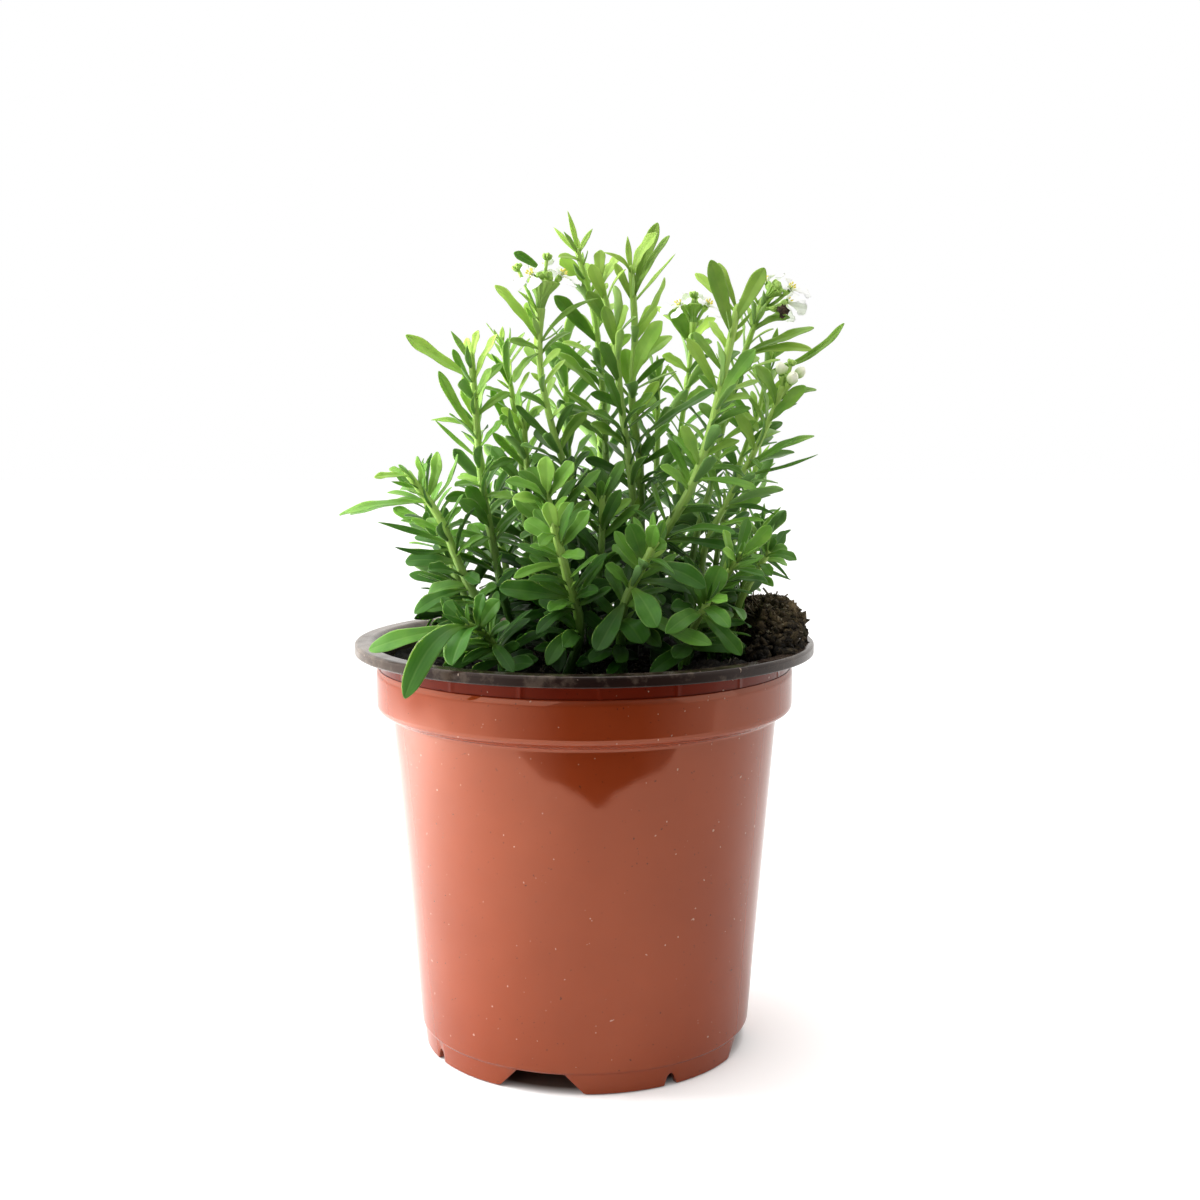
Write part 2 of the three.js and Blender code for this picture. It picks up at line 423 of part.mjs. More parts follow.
// A round bar through points, with a radius at each, made by moving the rings of a cylinder
function bar(points, radii, sides) {
  const rings = points.length - 1;
  const geometry = new THREE.CylinderGeometry(1, 1, 1, sides, rings);
  const position = geometry.getAttribute("position");
  for (let i = 0; i < position.count; i++) {
    const ring = Math.round((position.getY(i) + 0.5) * rings);
    const before = points[Math.max(ring - 1, 0)];
    const after = points[Math.min(ring + 1, rings)];
    const [first, second] = sideways(new THREE.Vector3().subVectors(after, before).normalize());
    const place = points[ring].clone();
    place.addScaledVector(first, position.getX(i) * radii[ring]);
    place.addScaledVector(second, position.getZ(i) * radii[ring]);
    position.setXYZ(i, place.x, place.y, place.z);
  }
  return solid(geometry);
}

// Blades: leaves and petals

// A blade runs from its root along its chord, arched towards its face and twisted on its way
function makeBlade(root, chord, facing, width, arch, roll, twist) {
  const length = chord.length();
  const heading = chord.clone().normalize();
  const face = facing.clone().addScaledVector(heading, -facing.dot(heading)).normalize();
  const side = new THREE.Vector3().crossVectors(face, heading);
  const form = FORMS.findLast(({ from }) => width >= from);
  return { root, chord, length, face, side, width, arch, roll, twist, form };
}

function bladePoint(blade, along, across, over) {
  const turn = blade.roll + blade.twist * along;
  const rise = 4 * along * (1 - along) * blade.arch * blade.length;
  const sideStep = across * Math.cos(turn) - over * Math.sin(turn);
  const faceStep = across * Math.sin(turn) + over * Math.cos(turn);
  return blade.root.clone()
    .addScaledVector(blade.chord, along)
    .addScaledVector(blade.face, rise + faceStep)
    .addScaledVector(blade.side, sideStep);
}

function widthAt(blade, along) {
  const { rings, outline } = blade.form;
  for (let i = 1; i < rings.length; i++) {
    if (along <= rings[i]) {
      const part = (along - rings[i - 1]) / (rings[i] - rings[i - 1]);
      return blade.width * mix(outline[i - 1], outline[i], part);
    }
  }
  const last = rings.length - 1;
  return blade.width * outline[last] * (1 - along) / (1 - rings[last]);
}

// A closed blade is a three-sided cone whose rings move onto the outline, two corners on the edges
// and one on the keel under the midrib. Its first ring is small and sits inside the stem.
function bladeSolid(blade) {
  const { rings, outline } = blade.form;
  const geometry = new THREE.ConeGeometry(1, 1, 3, rings.length);
  const position = geometry.getAttribute("position");
  for (let i = 0; i < position.count; i++) {
    const ring = Math.round((position.getY(i) + 0.5) * rings.length);
    const inStem = ring === 0;
    const atTip = ring === rings.length;
    const onEdge = Math.abs(position.getX(i)) > NEAR_ZERO;
    const onKeel = !onEdge && position.getZ(i) > NEAR_ZERO;
    let along = 1;
    let across = 0;
    let over = 0;
    if (!atTip) {
      along = inStem ? ROOT_STEP / blade.length : rings[ring];
      const half = inStem ? ROOT_HALF : blade.width * outline[ring] / 2;
      if (onEdge) across = Math.sign(position.getX(i)) * half;
      if (onEdge) over = inStem ? ROOT_RISE : BLADE_RISE;
      if (onKeel) over = inStem ? -ROOT_KEEL : -BLADE_KEEL;
    }
    const place = bladePoint(blade, along, across, over);
    position.setXYZ(i, place.x, place.y, place.z);
  }
  return solid(geometry);
}

// Where the stems run

// A stem is straight up in its hole, then follows a curve, in even steps
function stemPath(stem) {
  const [x, y] = stem.base;
  const ground = soilTop(x, y);
  const foot = new THREE.Vector3(x, y, ground - STEM_DEPTH);
  const knots = [vector([x, y, ground + STEM_STRAIGHT]), ...stem.path.map(vector)];
  const curve = new THREE.CatmullRomCurve3(knots);
  curve.arcLengthDivisions = knots.length * PATH_STEPS;
  const points = curve.getSpacedPoints(Math.max(2, Math.round(curve.getLength() / RING_STEP)));
  const lengths = [0];
  for (let i = 1; i < points.length; i++) {
    lengths.push(lengths[i - 1] + points[i].distanceTo(points[i - 1]));
  }
  return { foot, points, lengths, total: lengths[lengths.length - 1] };
}

// The place and heading at a share of the stem's length above the soil
function alongStem(path, share) {
  const target = path.total * share;
  let i = 1;
  while (i < path.points.length - 1 && path.lengths[i] < target) i++;
  const [low, high] = [path.points[i - 1], path.points[i]];
  const part = (target - path.lengths[i - 1]) / (path.lengths[i] - path.lengths[i - 1]);
  const heading = new THREE.Vector3().subVectors(high, low).normalize();
  return { place: low.clone().lerp(high, part), heading };
}

// Room

// Points on everything placed so far, kept in cells, with the room that each needs round it
const cells = new Map();

function cellKey(x, y, z) {
  const [column, row, level] = [x, y, z].map((value) => Math.floor(value / CELL));
  return ((column + CELLS / 2) * CELLS + row + CELLS / 2) * CELLS + level;
}

function take(samples) {
  for (const sample of samples) {
    const key = cellKey(sample.at.x, sample.at.y, sample.at.z);
    if (!cells.has(key)) cells.set(key, []);
    cells.get(key).push(sample);
  }
}

function meets(sample, other) {
  const away = sample.at.distanceTo(other.at);
  if (sample.node !== other.node) return away < sample.room + other.room;
  return sample.free && other.free && away < OWN_ROOM;
}

function clearOfPot({ x, y, z }) {
  const out = Math.hypot(x, y);
  if (Math.abs(x) > REACH_X || Math.abs(y) > REACH_Y) return false;
  if (out > RIM_RADIUS + RIM_ROOM) return true;
  if (out > LIP_RADIUS - WALL - RIM_ROOM) return z > RIM_TOP + RIM_ROOM;
  return z > soilTop(x, y) + RIM_ROOM;
}

function isFree(samples) {
  for (const sample of samples) {
    const { x, y, z } = sample.at;
    if (!clearOfPot(sample.at)) return false;
    for (let i = -1; i <= 1; i++) {
      for (let j = -1; j <= 1; j++) {
        for (let k = -1; k <= 1; k++) {
          const near = cells.get(cellKey(x + i * CELL, y + j * CELL, z + k * CELL));
          if (near && near.some((other) => meets(sample, other))) return false;
        }
      }
    }
  }
  return true;
}

function stemSamples(path, radius, node) {
  const count = Math.ceil(path.total / SAMPLE_STEP);
  const samples = [];
  for (let i = 0; i <= count; i++) {
    const at = alongStem(path, i / count).place;
    samples.push({ at, room: radius + STEM_ROOM - BLADE_ROOM / 2, node, free: false });
  }
  return samples;
}

function bladeSamples(blade, node) {
  const samples = [];
  const rows = Math.ceil(blade.length * (1 - SAMPLE_START) / SAMPLE_STEP);
  for (let i = 0; i <= rows; i++) {
    const along = SAMPLE_START + (1 - SAMPLE_START) * i / rows;
    const width = widthAt(blade, along);
    const columns = Math.ceil(width / SAMPLE_STEP);
    for (let j = 0; j <= columns; j++) {
      const across = columns ? width * (j / columns - 0.5) : 0;
      const at = bladePoint(blade, along, across, 0);
      samples.push({ at, room: BLADE_ROOM / 2, node, free: along > OWN_FREE_FROM });
    }
  }
  return samples;
}

// Leaves

// The first of some tries at a leaf that has room is kept; a leaf with no room is left out
function placeLeaf(tries, node) {
  for (const blade of tries) {
    const samples = bladeSamples(blade, node);
    if (isFree(samples)) {
      take(samples);
      return blade;
    }
  }
  return null;
}

function leafTries(path, number, order, leaf, light, shifts, scales) {
  const [share, x, y, z, width, arch] = leaf;
  const { place, heading } = alongStem(path, Math.min(share, 1 - TOP_ROOT / path.total));
  const facing = heading.clone().add(light);
  const roll = radians(LEAF_ROLL) * (chance(number, order, 1) - 0.5) * 2;
  const twist = radians(LEAF_TWIST) * (chance(number, order, 2) - 0.5) * 2;
  const tries = [];
  for (const scale of scales) {
    for (const [shiftX, shiftY, shiftZ] of shifts) {
      const chord = vector([x + shiftX, y + shiftY, z + shiftZ]).multiplyScalar(scale);
      tries.push(makeBlade(place, chord, facing, width, arch, roll, twist));
    }
  }
  return tries;
}

// A leaf by rule: low ones are long, broad and spread, high ones short, narrow and upright
function leafByRule(path, number, order, count) {
  const share = mix(RULE_START, RULE_END, (order + 0.5) / count);
  const { place, heading } = alongStem(path, share);
  const [first, second] = sideways(heading);
  const outward = new THREE.Vector3(place.x, place.y, 0).normalize().multiplyScalar(OUTWARD_TURN);
  const dice = (what) => chance(number, order, what);
  const lean = radians(mix(LEAN_LOW, LEAN_HIGH, share) + mix(...LEAN_SPREAD, dice(3)));
  const length = mix(LENGTH_LOW, LENGTH_HIGH, share * share) * mix(...LENGTH_SPREAD, dice(4));
  const width = mix(WIDTH_LOW, WIDTH_HIGH, share) * mix(...WIDTH_SPREAD, dice(5));
  const arch = mix(ARCH_LOW, ARCH_HIGH, share) * mix(...ARCH_SPREAD, dice(6));
  const turn = radians(GOLDEN_TURN * order + 360 * chance(number, 7));
  const tries = [];
  for (const scale of RULE_SCALES) {
    for (const tilt of RULE_TILTS) {
      for (const swing of RULE_SWINGS) {
        const tip = heading.clone().multiplyScalar(Math.cos(lean + radians(tilt)));
        tip.addScaledVector(first, Math.sin(lean + radians(tilt)) * Math.cos(turn + radians(swing)));
        tip.addScaledVector(second, Math.sin(lean + radians(tilt)) * Math.sin(turn + radians(swing)));
        tip.multiplyScalar(length);
        const leaf = [share, tip.x, tip.y, tip.z, width, arch];
        const place = [path, number, order + RULE_DRAWS, leaf, outward];
        tries.push(...leafTries(...place, [[0, 0, 0]], [scale]));
      }
    }
  }
  return tries;
}

// Flowers and buds

// The thin green stalk under a flower or bud, from near the stem's tip to just behind its back
function stalkPoints(path, back, facing) {
  const start = alongStem(path, STALK_START).place;
  const bend = back.clone().addScaledVector(facing, -start.distanceTo(back) * STALK_BEND);
  return new THREE.QuadraticBezierCurve3(start, bend, back).getPoints(STALK_STEPS);
}

// A stalk that opens into the cup that holds a flower or bud
function stalkAndCup(path, back, facing, cup) {
  const points = stalkPoints(path, back, facing);
  const radii = points.map(() => PEDICEL_RADIUS);
  points.push(back.clone().addScaledVector(facing, CALYX_LENGTH));
  radii.push(cup);
  return bar(points, radii, STEM_SIDES);
}

// A green bud is the swollen end of its stalk
function stalkAndBud(path, centre, facing, radius) {
  const points = stalkPoints(path, centre.clone().addScaledVector(facing, -radius), facing);
  const radii = points.map(() => PEDICEL_RADIUS);
  points.push(centre.clone(), centre.clone().addScaledVector(facing, radius * BUD_STRETCH));
  radii.push(radius, BUD_POINT);
  return bar(points, radii, STEM_SIDES);
}

function eyeOf(flower) {
  return alongStem(paths[flower.stem], 1).place.clone().add(vector(flower.eye));
}

// The flower's own directions: the way it faces, the outer side of its head, and across both
function flowerWays(flower) {
  const facing = vector(flower.faces).normalize();
  const outward = new THREE.Vector3(flower.eye[0], flower.eye[1], 0);
  outward.addScaledVector(facing, -outward.dot(facing)).normalize();
  return { facing, outward, beside: new THREE.Vector3().crossVectors(facing, outward) };
}

function flowerPoint(flower, turn, out, height) {
  const { facing, outward, beside } = flowerWays(flower);
  return eyeOf(flower)
    .addScaledVector(outward, out * Math.cos(turn))
    .addScaledVector(beside, out * Math.sin(turn))
    .addScaledVector(facing, height);
}

// The rim of the four petals, as turns round the flower and distances from its eye
function petalRim() {
  const rim = [];
  PETAL_TURNS.forEach((middle, i) => {
    const before = i ? PETAL_TURNS[i - 1] : PETAL_TURNS[PETAL_TURNS.length - 1] - 360;
    const length = middle < 90 || middle > 270 ? LONG_PETAL : SHORT_PETAL;
    rim.push([radians((before + middle) / 2), PETAL_CLEFT]);
    for (const [turn, share] of PETAL_RIM) rim.push([radians(middle + turn), length * share]);
  });
  return rim;
}

// The four petals are one thin disc whose rim is drawn in between them, over a short pointed heart
function petalsOf(flower) {
  const rim = petalRim();
  const geometry = new THREE.CylinderGeometry(1, 1, 1, rim.length, 1);
  const position = geometry.getAttribute("position");
  for (let i = 0; i < position.count; i++) {
    const [x, z] = [position.getX(i), position.getZ(i)];
    const isTop = position.getY(i) > 0;
    const step = Math.round(Math.atan2(x, z) / (2 * Math.PI) * rim.length + rim.length) % rim.length;
    const inMiddle = Math.hypot(x, z) < 0.5;
    const [turn, out] = inMiddle ? [0, 0] : rim[step];
    const under = inMiddle ? HEART_DEPTH : PETAL_HALF;
    const place = flowerPoint(flower, turn, out, out * PETAL_LIFT + (isTop ? PETAL_HALF : -under));
    position.setXYZ(i, place.x, place.y, place.z);
  }
  return solid(geometry);
}

// The anthers stand in one star-shaped tuft over the eye
function anthersOf(flower) {
  const sides = ANTHERS * 2;
  const geometry = new THREE.CylinderGeometry(1, 1, 1, sides, 1);
  const position = geometry.getAttribute("position");
  for (let i = 0; i < position.count; i++) {
    const [x, z] = [position.getX(i), position.getZ(i)];
    const isTop = position.getY(i) > 0;
    const turn = Math.atan2(x, z);
    const step = Math.round(turn / (2 * Math.PI) * sides + sides);
    const spread = isTop && step % 2 ? ANTHER_OUT : ANTHER_IN;
    const place = flowerPoint(flower, turn, Math.hypot(x, z) * spread, isTop ? ANTHER_HIGH : ANTHER_LOW);
    position.setXYZ(i, place.x, place.y, place.z);
  }
  return solid(geometry);
}

function budFacing(bud) {
  return vector(bud.tip).add(new THREE.Vector3(0, 0, BUD_LIFT)).normalize();
}

function budCentre(bud) {
  return alongStem(paths[bud.stem], 1).place.clone().add(vector(bud.tip));
}

function budStretch(bud) {
  return bud.stretch ?? BUD_STRETCH;
}

// The back of a bud's cup, so that the cup stands a little clear of the bud
function budBack(bud) {
  const reach = bud.radius * budStretch(bud) + GAP + CALYX_LENGTH;
  return budCentre(bud).addScaledVector(budFacing(bud), -reach);
}

function budSolid(bud) {
  const geometry = new THREE.SphereGeometry(bud.radius, BUD_SIDES, BUD_RINGS);
  const upright = new THREE.Vector3(0, 1, 0);
  geometry.scale(1, budStretch(bud), 1);
  geometry.applyQuaternion(new THREE.Quaternion().setFromUnitVectors(upright, budFacing(bud)));
  geometry.translate(...budCentre(bud).toArray());
  return solid(geometry);
}

function roundSample(at, radius, node) {
  return { at, room: radius + ROUND_ROOM, node, free: false };
}

function flowerSamples(flower) {
  const samples = [roundSample(eyeOf(flower), ANTHER_OUT, flower.name)];
  for (const [turn, reach] of petalRim()) {
    for (let out = 1; out < reach + SAMPLE_STEP / 2; out += SAMPLE_STEP) {
      samples.push(roundSample(flowerPoint(flower, turn, out, out * PETAL_LIFT), PETAL_HALF, flower.name));
    }
  }
  return samples;
}

// Everything is given its room in a fixed order: stems, flowers and buds, the leaves that show by
// themselves, then the leaves by rule
const paths = STEMS.map(stemPath);
const leavesOf = STEMS.map(() => []);

STEMS.forEach((stem, number) => take(stemSamples(paths[number], stem.radius, stem.name)));
for (const flower of FLOWERS) {
  const { facing } = flowerWays(flower);
  const back = eyeOf(flower).addScaledVector(facing, -FLOWER_BACK);
  take(flowerSamples(flower));
  take(stalkPoints(paths[flower.stem], back, facing)
    .map((at) => roundSample(at, PEDICEL_RADIUS, STEMS[flower.stem].name)));
}
for (const bud of [...WHITE_BUDS, ...GREEN_BUDS, WITHERED]) {
  take([roundSample(budCentre(bud), bud.radius, bud.name ?? STEMS[bud.stem].name)]);
}
STEMS.forEach((stem, number) => {
  stem.leaves.forEach((leaf, order) => {
    const light = vector(FRONT_LIGHT).multiplyScalar(FRONT_TURN);
    const tries = leafTries(paths[number], number, order, leaf, light, SHOWN_SHIFTS, SHOWN_SCALES);
    const placed = placeLeaf(tries, stem.name);
    if (placed) leavesOf[number].push(placed);
  });
});
STEMS.forEach((stem, number) => {
  for (let order = 0; order < stem.by_rule; order++) {
    const placed = placeLeaf(leafByRule(paths[number], number, order, stem.by_rule), stem.name);
    if (placed) leavesOf[number].push(placed);
  }
});

function stemSolid(stem, number) {
  const path = paths[number];
  const radii = path.lengths.map((length) => stem.radius * mix(1, STEM_TAPER, length / path.total));
  const stalk = bar([path.foot, ...path.points], [stem.radius, ...radii], STEM_SIDES);
  const pieces = [stalk, ...leavesOf[number].map(bladeSolid)];
  const isHere = (each) => each.stem === number;
  for (const flower of FLOWERS.filter(isHere)) {
    const { facing } = flowerWays(flower);
    const back = eyeOf(flower).addScaledVector(facing, -FLOWER_BACK);
    pieces.push(stalkAndCup(path, back, facing, CALYX_RADIUS));
  }
  for (const bud of [...WHITE_BUDS, WITHERED].filter(isHere)) {
    pieces.push(stalkAndCup(path, budBack(bud), budFacing(bud), bud.radius * BUD_CUP));
  }
  for (const bud of GREEN_BUDS.filter(isHere)) {
    pieces.push(stalkAndBud(path, budCentre(bud), budFacing(bud), bud.radius));
  }
  return joined(pieces);
}

// Pot

// A round body in facets, which start a little aside so that no corner lies on the X or Y axis
function turned(outline) {
  const points = outline.map(([r, z]) => new THREE.Vector2(r, z));
  const geometry = new THREE.LatheGeometry(points, POT_SIDES, radians(POT_TURN));
  geometry.rotateX(Math.PI / 2);
  return geometry;
}

// An outline whose right half is given, from its foot to its top
function mirrored(half) {
  return [...half, ...half.map(([x, z]) => [-x, z]).reverse()];
}

// A bar cut through the foot's wall, its outline drawn in the plane across the cut
function footCut(outline, turn) {
  const shape = new THREE.Shape(outline.map(([x, z]) => new THREE.Vector2(x, z)));
  const geometry = new THREE.ExtrudeGeometry(shape, { depth: FOOT_CUT_DEPTH, bevelEnabled: false });
  geometry.rotateX(Math.PI / 2);
  geometry.translate(0, -FOOT_RADIUS + FOOT_CUT_INNER, 0);
  geometry.rotateZ(radians(turn));
  return solid(geometry);
}

// The pot is turned from its section, then the notches of its foot and its drain holes are cut
function potSolid() {
  const section = [
    [0, FLOOR_TOP], [FOOT_RADIUS - WALL, FLOOR_TOP],
    [BODY_TOP_RADIUS - WALL, SHOULDER_LOW], [BAND_RADIUS - WALL, SHOULDER_HIGH],
    [BAND_RADIUS - WALL, LIP_LOW], [LIP_RADIUS, RIM_TOP],
    [RIM_RADIUS, RIM_TOP], [RIM_RADIUS, RIM_TOP - RIM_FLANGE], [BAND_RADIUS, RIM_TOP - RIM_FLANGE],
    [BAND_RADIUS, COLLAR_TOP], [COLLAR_RADIUS, COLLAR_TOP - COLLAR_BEVEL],
    [COLLAR_RADIUS, COLLAR_BOTTOM], [BODY_TOP_RADIUS, BODY_TOP],
    [STEP_RADIUS, STEP_HEIGHT + STEP_DEPTH], [STEP_RADIUS - STEP_DEPTH, STEP_HEIGHT],
    [FOOT_RADIUS, 0], [FOOT_RADIUS - FOOT_WALL, 0],
    [FOOT_RADIUS - FOOT_WALL, FLOOR_UNDERSIDE], [0, FLOOR_UNDERSIDE],
  ];
  let pot = solid(turned(section.reverse()));
  const slot = mirrored([[WIDE_NOTCH_BOTTOM / 2, -CUT_OVER], [WIDE_NOTCH_BOTTOM / 2, 0],
    [WIDE_NOTCH_TOP / 2, WIDE_NOTCH_HEIGHT]]);
  const arch = mirrored([[SMALL_NOTCH_WIDTH / 2, -CUT_OVER], [SMALL_NOTCH_WIDTH / 2, SMALL_NOTCH_SPRING],
    [SMALL_NOTCH_CROWN / 2, SMALL_NOTCH_HEIGHT]]);
  for (let i = 0; i < FOOT_NOTCHES; i++) {
    const quarter = 360 * i / FOOT_NOTCHES;
    pot = pot.subtract(footCut(slot, WIDE_NOTCH_TURN + quarter));
    pot = pot.subtract(footCut(arch, SMALL_NOTCH_TURN + quarter));
    const turn = radians(WIDE_NOTCH_TURN + quarter);
    pot = pot.subtract(uprightBar(DRAIN_HOLE_RING * Math.sin(turn), -DRAIN_HOLE_RING * Math.cos(turn),
      FLOOR_UNDERSIDE - CUT_OVER, FLOOR_TOP + CUT_OVER, DRAIN_HOLE_RADIUS, DRAIN_HOLE_SIDES));
  }
  return pot;
}

function uprightBar(x, y, low, high, radius, sides) {
  const geometry = new THREE.CylinderGeometry(radius, radius, high - low, sides);
  geometry.rotateX(Math.PI / 2);
  geometry.translate(x, y, (low + high) / 2);
  return solid(geometry);
}

// Soil

// A plug that fills the pot, its top moved to the height of the surface, with a hole for each stem
function soilSolid() {
  const low = FLOOR_TOP + GAP;
  const edge = BAND_RADIUS - WALL - GAP;
  const outline = [[0, low], [FOOT_RADIUS - WALL - GAP, low],
    [BODY_TOP_RADIUS - WALL - GAP, SHOULDER_LOW + GAP], [edge, SHOULDER_HIGH + GAP]];
  for (const share of SOIL_RINGS) outline.push([edge * share, RIM_TOP]);
  const geometry = turned(outline);
  const position = geometry.getAttribute("position");
  for (let i = 0; i < position.count; i++) {
    const onTop = position.getZ(i) === Math.fround(RIM_TOP);
    if (onTop) position.setZ(i, soilTop(position.getX(i), position.getY(i)));
  }
  let soil = solid(geometry);
  STEMS.forEach((stem) => {
    const [x, y] = stem.base;
    const ground = soilTop(x, y);
    soil = soil.subtract(uprightBar(x, y, ground - STEM_DEPTH - GAP, ground + HOLE_OVER,
      stem.radius + HOLE_ROOM, HOLE_SIDES));
  });
  return soil;
}

// Materials

const terracotta = new THREE.MeshStandardMaterial({ color: 0xb75a3c, roughness: 0.4, metalness: 0 });
const peat = new THREE.MeshStandardMaterial({ color: 0x2a1d15, roughness: 0.95, metalness: 0 });
const leafGreen = new THREE.MeshStandardMaterial({ color: 0x5f9a3e, roughness: 0.55, metalness: 0 });
const petalWhite = new THREE.MeshStandardMaterial({ color: 0xf6f6f0, roughness: 0.6, metalness: 0 });
const antherYellow = new THREE.MeshStandardMaterial({ color: 0xe6d23a, roughness: 0.7, metalness: 0 });
const witheredBrown = new THREE.MeshStandardMaterial({ color: 0x2e2118, roughness: 0.9, metalness: 0 });

const plant = new THREE.Group();
plant.add(meshOf("pot", potSolid(), terracotta));
plant.add(meshOf("soil", soilSolid(), peat));
STEMS.forEach((stem, number) => plant.add(meshOf(stem.name, stemSolid(stem, number), leafGreen)));
for (const flower of FLOWERS) {
  plant.add(meshOf(`${flower.name}_petals`, petalsOf(flower), petalWhite));
  plant.add(meshOf(`${flower.name}_anthers`, anthersOf(flower), antherYellow));
}
for (const bud of WHITE_BUDS) plant.add(meshOf(bud.name, budSolid(bud), petalWhite));
plant.add(meshOf(WITHERED.name, budSolid(WITHERED), witheredBrown));

export default plant;
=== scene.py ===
"""Looks of a potted candytuft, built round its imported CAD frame.

Lengths in the tables and builders are millimetres; meshes are made in metres. The front is -Y.
"""

import bisect
import math

import bpy
import numpy as np
from bpy.props import FloatProperty, FloatVectorProperty, IntProperty, PointerProperty
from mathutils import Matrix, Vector, kdtree, noise


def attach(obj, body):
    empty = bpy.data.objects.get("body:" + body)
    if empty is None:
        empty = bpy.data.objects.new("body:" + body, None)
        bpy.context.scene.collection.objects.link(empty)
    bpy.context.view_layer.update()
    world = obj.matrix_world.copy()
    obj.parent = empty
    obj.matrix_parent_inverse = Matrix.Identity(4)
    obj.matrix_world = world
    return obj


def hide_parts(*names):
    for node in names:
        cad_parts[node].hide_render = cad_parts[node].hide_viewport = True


bl_info = {
    "name": "Potted candytuft",
    "version": (1, 0, 0),
    "blender": (4, 5, 0),
    "location": "View3D > Sidebar > Candytuft",
    "description": "Builds the looks of a candytuft in a nursery pot round its CAD frame",
    "category": "Object",
}

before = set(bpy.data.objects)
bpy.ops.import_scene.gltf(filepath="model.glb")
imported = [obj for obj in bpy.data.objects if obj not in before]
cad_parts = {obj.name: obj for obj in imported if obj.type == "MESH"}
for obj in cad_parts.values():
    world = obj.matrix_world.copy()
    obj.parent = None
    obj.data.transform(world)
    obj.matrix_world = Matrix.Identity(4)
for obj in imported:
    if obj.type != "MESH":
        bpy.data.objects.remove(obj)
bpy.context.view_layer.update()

MM = 0.001
BODY = "root"


class Row:
    """A table's row with named fields."""

    def __init__(self, fields, values):
        self.__dict__.update(zip(fields.split(), values))


def rows(fields, table):
    return [Row(fields, values) for values in table]


# ------ sizes shared with the CAD

WALL = 1.2
RIM_TOP = 116.1
RIM_RADIUS = 65
RIM_FLANGE = 3
UNDER_RIM = RIM_TOP - RIM_FLANGE
DARK_END = RIM_RADIUS - 0.8
LIP_RADIUS = 60.2
LIP_LOW = 113.4
COLLAR_TOP = 109
COLLAR_BOTTOM = 97.5
COLLAR_RADIUS = 59.1
BAND_RADIUS = 58.3
BODY_TOP_RADIUS = 54.7
BODY_TOP = 95.5
SHOULDER_LOW = 94.5
SHOULDER_HIGH = 98.1
STEP_HEIGHT = 5.7
STEP_RADIUS = 47.5
STEP_DEPTH = 0.6
FOOT_RADIUS = 46.3
FOOT_WALL = 1.8
FLOOR_TOP = 7.4
FLOOR_UNDERSIDE = 6.2
WIDE_NOTCH_TURN = -14.5
WIDE_NOTCH_BOTTOM = 24
WIDE_NOTCH_TOP = 13.3
SMALL_NOTCH_TURN = 30.5
SMALL_NOTCH_WIDTH = 3.8
SMALL_NOTCH_HEIGHT = 3.2
DRAIN_HOLE_RADIUS = 4
DRAIN_HOLE_RING = 26
GAP = 0.3
SOIL_LEVEL = 109.6
SOIL_EDGE = BAND_RADIUS - WALL - GAP
STEM_DEPTH = 6
SPILL_TURN = (84, 12)
SPILL_REACH = (51, 62.6)
SPILL_HEIGHT = 12
TABLE_EDGE_SHARPNESS = 250
# Places along the table's front edge, in metres, and how far it falls short of its front there
TABLE_EDGE = [(-0.19, 0.018), (-0.068, 0), (-0.017, 0.005), (0.027, 0.02), (0.0715, 0.015),
              (0.12, 0.021), (0.22, 0.064)]
# Heaps on the soil: x, y, height and reach
HEAPS = [(50, 8, 16.5, 12), (38, -36, 5.5, 14)]

# ------ leaves and stems

# Leaf outlines from a width on: places up the blade and shares of its width there
OUTLINES = rows("width places shares", [
    (0, (0.55,), (1,)),
    (2.1, (0.42, 0.8), (0.8, 1)),
    (5.1, (0.34, 0.66, 0.88), (0.58, 1, 0.84)),
])
NARROW = 2.1
TOP_ROOT = 1.4
FRONT_LIGHT = np.array([-0.2, -1, 0.45]) * 1.6
OUTWARD_TURN = 0.9
GOLDEN_TURN = 137.5
LEAF_ROLL = math.radians(14)
LEAF_TWIST = math.radians(16)
SHOWN_SHIFTS = [(0, 0, 0), (0, 3, 0), (0, -3, 0), (0, 6, 0), (0, -6, 0), (0, 0, 2), (0, 0, -2),
                (0, 9, 0), (0, -9, 0), (0, 5, 2), (0, -5, 2), (2, 0, 0), (-2, 0, 0)]
SHOWN_SCALES = (1, 0.86, 0.72)
RULE_SWINGS = (0, 24, -24, 48, -48, 75, -75, 110, -110, 150, -150)
RULE_TILTS = (0, -14, 12)
RULE_SCALES = (1, 0.84, 0.7)
PATH_STEPS = 8
RING_STEP = 17
STEM_TAPER = 0.76
STALK_START = 0.97
STALK_POINTS = 9
FLOWER_BACK = 2.8
PEDICEL_RADIUS = 0.5
CALYX_RADIUS = 1.15
CALYX_LENGTH = 1.9
BUD_STRETCH = 1.25
BUD_CUP = 0.8
PETAL_TURNS = (34, 128, 232, 326)
LONG_PETAL = 6.4
SHORT_PETAL = 4.2
PETAL_LIFT = 0.2
CLAW_START = 0.35

